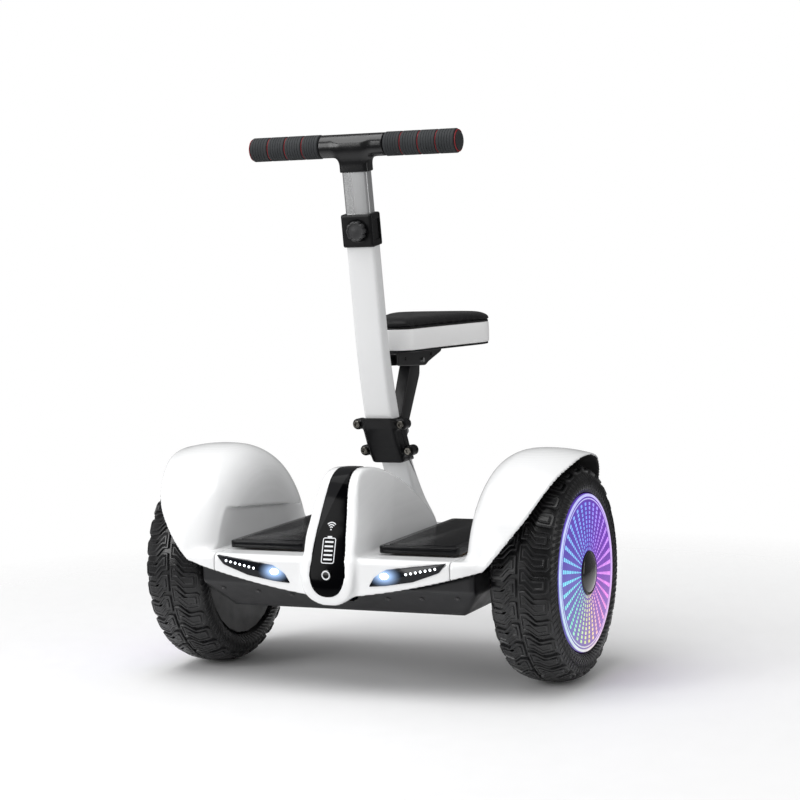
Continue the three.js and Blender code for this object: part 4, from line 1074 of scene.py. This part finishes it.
def build_knob():
    """Scalloped knob with a dished face, from rows of (depth, share of its radius)."""
    levels = [(-9, 0.02), (-9, 0.24), (-15.1, 0.24), (-15.1, 0.94), (-15.8, 1.0), (-21.3, 1.0),
              (-22.1, 0.955), (-22.4, 0.87), (-22.2, 0.81), (-21.6, 0.77), (-21.4, 0.5), (-21.8, 0.3),
              (-21.9, 0.02)]
    turns = np.arange(120) / 120 * FULL_TURN
    rings = []
    for depth, share in levels:
        scallop = 1.5 * (1 - np.abs(np.cos(LOBES / 2 * turns)) ** 0.8) * (share > 0.8)
        reach = (KNOB_RADIUS - scallop) * share
        rings.append([on_tube(KNOB_X + math.cos(a) * r, depth, KNOB_HEIGHT + math.sin(a) * r)
                      for a, r in zip(turns, reach)])
    make("clamp_knob_grip", Shape().rings(rings), [KNOB], "clamp_knob", ["clamp_knob"], 40)


def build_inner_tube():
    pipe = hollow(leaning(TUBE_HALF, 3.4, (-70, -20, 40, 70, 98)), 1.8)
    make("tube_inner", pipe, [BRUSHED], "handlebar", ["inner_tube"], 40)


def build_handlebar():
    """Round bar, thicker in the middle, blended into a neck that takes the tube."""
    g = Grid((0, BAR_Y - 18, 590), (131, BAR_Y + 24, 646), 1.0)
    depth, height = tube_axes(g)
    reach = np.hypot(g.y - BAR_Y, g.z - BAR_Z)
    bar = union(both(reach - 13.6, g.x - 41.2, 1.0), both(reach - 10.5, g.x - 129))
    neck = both(rounded_box(g.x, depth, 18.5, 10.5, 5), slab(height, NECK_LOW, 118), 1.0)
    whole = both(union(bar, neck, 11), NECK_LOW - height)
    whole = without(whole, both(rounded_box(g.x, depth, 16.4, 8.6, 3.4), height - 98.4))
    make("handlebar_tee", g.skin(whole), [SATIN], "handlebar", ["handlebar"], 50)


def build_grip(side):
    """Foam grip in four ribbed lengths, parted by grooves that each hold a red ring, and its end cap."""
    top, groove, ribs = 14.2, 13.75, 6
    profile, grip = [(GRIP_BREAKS[0], 11)], Shape()
    for start, end in zip(GRIP_BREAKS, GRIP_BREAKS[1:]):
        profile += [(start + 0.6, 12.2), (start + 0.9, 13.6), (start + 1.6, top)]
        for rib in range(1, ribs):
            at = start + 1.6 + (end - start - 3.2) * rib / ribs
            profile += [(at - 0.55, top), (at - 0.3, groove), (at + 0.3, groove), (at + 0.55, top)]
        profile += [(end - 1.6, top), (end - 0.9, 13.6), (end - 0.6, 12.2)]
        if end < GRIP_BREAKS[-1]:
            turned(grip, oval(end - 0.1, 12.9, 0.45, 0.45, 8), 64, closed=True, slot=1)
    turned(grip, [*profile, (GRIP_BREAKS[-1], 11)], 64, closed=True)
    dome_line = smooth([(133.4, 11.4), (134.4, 10.4), (135.3, 7), (135.7, 0)], 4)
    cap = turned(Shape(), [(132.2, 0), (132.2, 11.2), *dome_line], 64)
    turned(cap, oval(132.6, 12.3, 0.6, 0.75, 9), 64, closed=True, slot=1)
    for name, shape, node in (("grip_foam", grip, "grip"), ("grip_end", cap, "grip_cap")):
        shape.moved((0, BAR_Y, BAR_Z), side=side)
        make(f"{name}_{side}", shape, [FOAM, RED_RING], "handlebar", [f"{node}_{side}"], 40)


# ---- seat ----
ARM_PIN, SEAT_PIN = np.array([58.0, 283.0]), np.array([107.0, 366.0])
SEAT_HALF = [(0, 28.5), (19, 30), (31, 38), (35.5, 51), (44, 88), (59, 140), (70, 182), (63, 206), (37, 216),
             (0, 218)]
SEAT_EDGE = smooth(SEAT_HALF + [(-x, y) for x, y in SEAT_HALF[-2:0:-1]], 7, closed=True)
SEAT_MIDDLE = np.array([0, 132.0])
BAND_LOW, BAND_TOP = span("seat_band")[0][2] + 1.2, span("seat_band")[1][2]
CLOTH_VOXEL, CLOTH_PRESSURE, CLOTH_REACH, CLOTH_FRAMES = 4.0, 4.0, 3.2, 20


def build_seat_arm():
    """Pressed steel arm: a flat box with rounded edges."""
    length = np.linalg.norm(SEAT_PIN - ARM_PIN)
    along = (SEAT_PIN - ARM_PIN) / length
    across = np.array([along[1], -along[0]])
    line = [(-4, -6), (3, -9.5), (12, -11), (length - 12, -15), (length - 1, -10), (length + 5, -5),
            (length + 5, 4), (length - 1, 11), (length - 12, 16), (12, 12), (3, 9.5), (-4, 6)]
    outline = rounded([ARM_PIN + along * u + across * v for u, v in line], 3)
    shape = prism(Shape(), outline, "x", -7.5, 7.5, 1.4)
    make("seat_arm_bar", shape, [STEEL_BLACK], "seat_arm", ["seat_arm"], 40)


def build_seat_frame():
    """Channel under the seat with two round holes in its flanges, and the thin base board."""
    top = span("seat_bracket")[1][2]
    g = Grid((0, 33, 356), (18, 171, top + 3), FINE_VOXEL)
    flange = [(36, top + 2), (36, 364), (60, 362), (118, 358.5), (126, 362), (168, 372.5), (168, top + 2)]
    outside = both(outline_distance(g.y, g.z, rounded(flange, 3)), g.x - 15, 1.5)
    outside = both(outside, g.z - top)
    channel = without(outside, both(g.x - 12, g.z - top + 2.2), 0.8)
    for y, z in ((56, 371.5), (134, 371.5)):
        channel = without(channel, both(np.hypot(g.y - y, g.z - z) - 2.2, 8 - g.x), 0.4)
    make("seat_channel", g.skin(channel), [STEEL_BLACK], "seat", ["seat_bracket"], 50)
    board = prism(Shape(), inset(SEAT_EDGE, 1.2), "z", top + 0.2, BAND_LOW, 0.9)
    make("seat_board", board, [PLASTIC], "seat", ["seat_base"], 40)


def build_seat_band():
    """White side band, rolled over at its top and bottom."""
    profile = [(4, BAND_LOW), (1.6, BAND_LOW), (0.4, BAND_LOW + 0.6), (0, BAND_LOW + 1.8),
               (-0.3, (BAND_LOW + BAND_TOP) / 2), (0, BAND_TOP - 2), (0.5, BAND_TOP - 0.6), (1.8, BAND_TOP),
               (4, BAND_TOP)]
    rings = [[(x, y, z) for x, y in inset(SEAT_EDGE, back)] for back, z in profile]
    make("seat_rim", Shape().rings(rings, closed=True), [BAND], "seat", ["seat_band"], 50)


def corners(piece):
    """The piece's points, in metres."""
    return np.array([tuple(vertex.co) for vertex in piece.data.vertices])


def inflate(piece):
    """Swells a closed piece with a cloth simulation. No point moves further than CLOTH_REACH."""
    remesh = piece.modifiers.new("Even", "REMESH")
    remesh.mode, remesh.voxel_size = "VOXEL", CLOTH_VOXEL * MM
    carried_out(piece)
    before = corners(piece)
    cloth = piece.modifiers.new("Swell", "CLOTH")
    cloth.settings.use_pressure = True
    cloth.settings.uniform_pressure_force = CLOTH_PRESSURE
    cloth.settings.effector_weights.gravity = 0
    cloth.point_cache.frame_end = CLOTH_FRAMES
    for frame_number in range(1, CLOTH_FRAMES + 1):
        scene.frame_set(frame_number)
    carried_out(piece)
    scene.frame_set(1)
    shift = corners(piece) - before
    far = np.linalg.norm(shift, axis=1, keepdims=True)
    return before + shift * np.minimum(1, CLOTH_REACH * MM / np.maximum(far, 1e-9))


def fill_outline(cushion):
    """Spreads the smoothed cushion so that it reaches the seat's outline again."""
    points = corners(cushion)
    wanted = place([(x, y, 0) for x, y in inset(SEAT_EDGE, 0.4)])
    for axis in (0, 1):
        low, high = points[:, axis].min(), points[:, axis].max()
        start, end = wanted[:, axis].min(), wanted[:, axis].max()
        points[:, axis] = start + (points[:, axis] - low) * (end - start) / (high - low)
    cushion.data.vertices.foreach_set("co", points.ravel())


def build_cushion():
    """Leather cushion swelled by a cloth simulation, resting on the band, with piping round its foot."""
    rings, most = [], 12
    for back, rise in [(1.8, 0.3), (0.6, 1.2), (0.2, 3), (0.8, 5.6), (3.4, 8.2), (12, 9.8), (30, 10.2)]:
        ring = inset(SEAT_EDGE, min(back, most))
        ring = SEAT_MIDDLE + (ring - SEAT_MIDDLE) * (1 - max(0, back - most) / 60)
        rings.append([(x, y, BAND_TOP + rise) for x, y in ring])
    cushion = make("seat_cushion_leather", Shape().rings(rings), [LEATHER], "seat", ["seat_cushion"],
                   180)
    points = inflate(cushion)
    points[:, 2] = np.maximum(points[:, 2], (BAND_TOP + 0.3) * MM + GROUND)
    cushion.data.vertices.foreach_set("co", points.ravel())
    even = cushion.modifiers.new("Even", "SMOOTH")
    even.factor, even.iterations = 0.5, 12
    carried_out(cushion)
    fill_outline(cushion)
    cushion.data.shade_smooth()
    cushion.modifiers.new("Finer", "SUBSURF").render_levels = 1
    piping = tube(Shape(), [(x, y, BAND_TOP + 0.9) for x, y in inset(SEAT_EDGE, 1.6)], 1.2)
    make("seat_piping", piping, [LEATHER], "seat", (), 60)


# ---- CAD solids that stay ----
CAD_FINISHES = {"motor_drum": CAST, "motor_cover": PAN, "axle_bearing": CHROME, "stator": COPPER,
                "axle": CHROME, "chassis_frame": CAST, "axle_clamp": CAST, "battery_pack": WRAP,
                "control_board": BOARD, "charge_port": PLASTIC, "foot_sensor": FILM, "stem_shaft": CHROME,
                "arm_pin": CHROME, "seat_pin": CHROME}


def finish_cad_nodes():
    """Gives the CAD solids that no piece replaces their materials."""
    for name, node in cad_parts.items():
        base = name.replace("_left", "").replace("_right", "")
        if base in CAD_FINISHES:
            for slot in node.material_slots:
                slot.material = CAD_FINISHES[base].material


# ---- stage, lamps and camera ----
def build_stage():
    """A pale floor that fades into the white surroundings."""
    reach, z = 3.0, GROUND - 0.0005
    floor = bpy.data.meshes.new("floor")
    floor.from_pydata([(-reach, -reach, z), (reach, -reach, z), (reach, reach, z), (-reach, reach, z)], [],
                      [(0, 1, 2, 3)])
    nodes = finish("floor_paint", (0.93, 0.93, 0.935), 0.6, mottle=0.01, grain=60, depth=0.02)
    x, y, _ = nodes.axes()
    nodes.look(Alpha=nodes.between(nodes.length(x, y), 1.0, 0.0, 0.35, 1.1))
    floor.materials.append(nodes.material)
    plane = bpy.data.objects.new("floor", floor)
    scene.collection.objects.link(plane)


def add_lamp(name, at, toward, size, power):
    light = bpy.data.lights.new(name, "AREA")
    light.shape, light.size, light.size_y = "RECTANGLE", *size
    light.energy = power
    lamp = bpy.data.objects.new(name, light)
    lamp.location = at
    lamp.rotation_euler = (Vector(toward) - Vector(at)).to_track_quat("-Z", "Y").to_euler()
    scene.collection.objects.link(lamp)


def build_lamps():
    """Three area lamps, and white surroundings that are brighter to the camera than in reflections."""
    world = bpy.data.worlds.new("studio")
    scene.world = world
    world.use_nodes = True
    tree = world.node_tree
    backdrop = tree.nodes["Background"]
    backdrop.inputs["Color"].default_value = (1, 1, 1, 1)
    rays = tree.nodes.new("ShaderNodeLightPath").outputs
    backdrop_strength = tree.nodes.new("ShaderNodeValue").outputs[0]
    backdrop_strength.default_value = 0.5
    for ray, change in (("Is Camera Ray", 0.5), ("Is Glossy Ray", -0.36)):
        total = tree.nodes.new("ShaderNodeMath")
        total.operation = "MULTIPLY_ADD"
        tree.links.new(rays[ray], total.inputs[0])
        total.inputs[1].default_value = change
        tree.links.new(backdrop_strength, total.inputs[2])
        backdrop_strength = total.outputs[0]
    tree.links.new(backdrop_strength, backdrop.inputs["Strength"])
    centre = (0, 0, 0.2)
    add_lamp("top", (-0.3, -0.4, 1.9), centre, (1.6, 1.6), 26)
    add_lamp("key", (-1.3, -1.7, 0.9), centre, (0.9, 1.3), 20)
    add_lamp("side", (1.9, 0.2, 0.5), centre, (0.5, 1.2), 4)


def build_camera():
    """The photo's view: to the right of the front, slightly above and with a little roll."""
    camera = bpy.data.cameras.new("camera")
    camera.sensor_width, camera.lens = 36.0, 94.9
    eye = bpy.data.objects.new("camera", camera)
    scene.collection.objects.link(eye)
    azimuth, elevation, roll = (math.radians(angle) for angle in (24.485, 5.081, 1.975))
    target, distance = Vector((0.0313, 0, 0.3262 + GROUND)), 2.514
    back = Vector((math.sin(azimuth) * math.cos(elevation), -math.cos(azimuth) * math.cos(elevation),
                   math.sin(elevation)))
    right = Vector((math.cos(azimuth), math.sin(azimuth), 0))
    up = back.cross(right)
    axes = (math.cos(roll) * right - math.sin(roll) * up, math.sin(roll) * right + math.cos(roll) * up, back)
    eye.matrix_world = Matrix.Translation(target + back * distance) @ Matrix(axes).transposed().to_4x4()
    scene.camera = eye


build_white_body()
for side in SIDES:
    for build in (build_tyre, build_hub, build_headlight, build_foot_pad, build_grip):
        build(side)
for build in (build_console, build_icons, build_button, build_pan, build_pan_screws, build_rear, build_stem,
              build_bracket, build_bolts, build_collar, build_knob, build_inner_tube, build_handlebar,
              build_seat_arm, build_seat_frame, build_seat_band, build_cushion, finish_cad_nodes, build_stage,
              build_lamps, build_camera):
    build()
scene.view_settings.view_transform = "Standard"
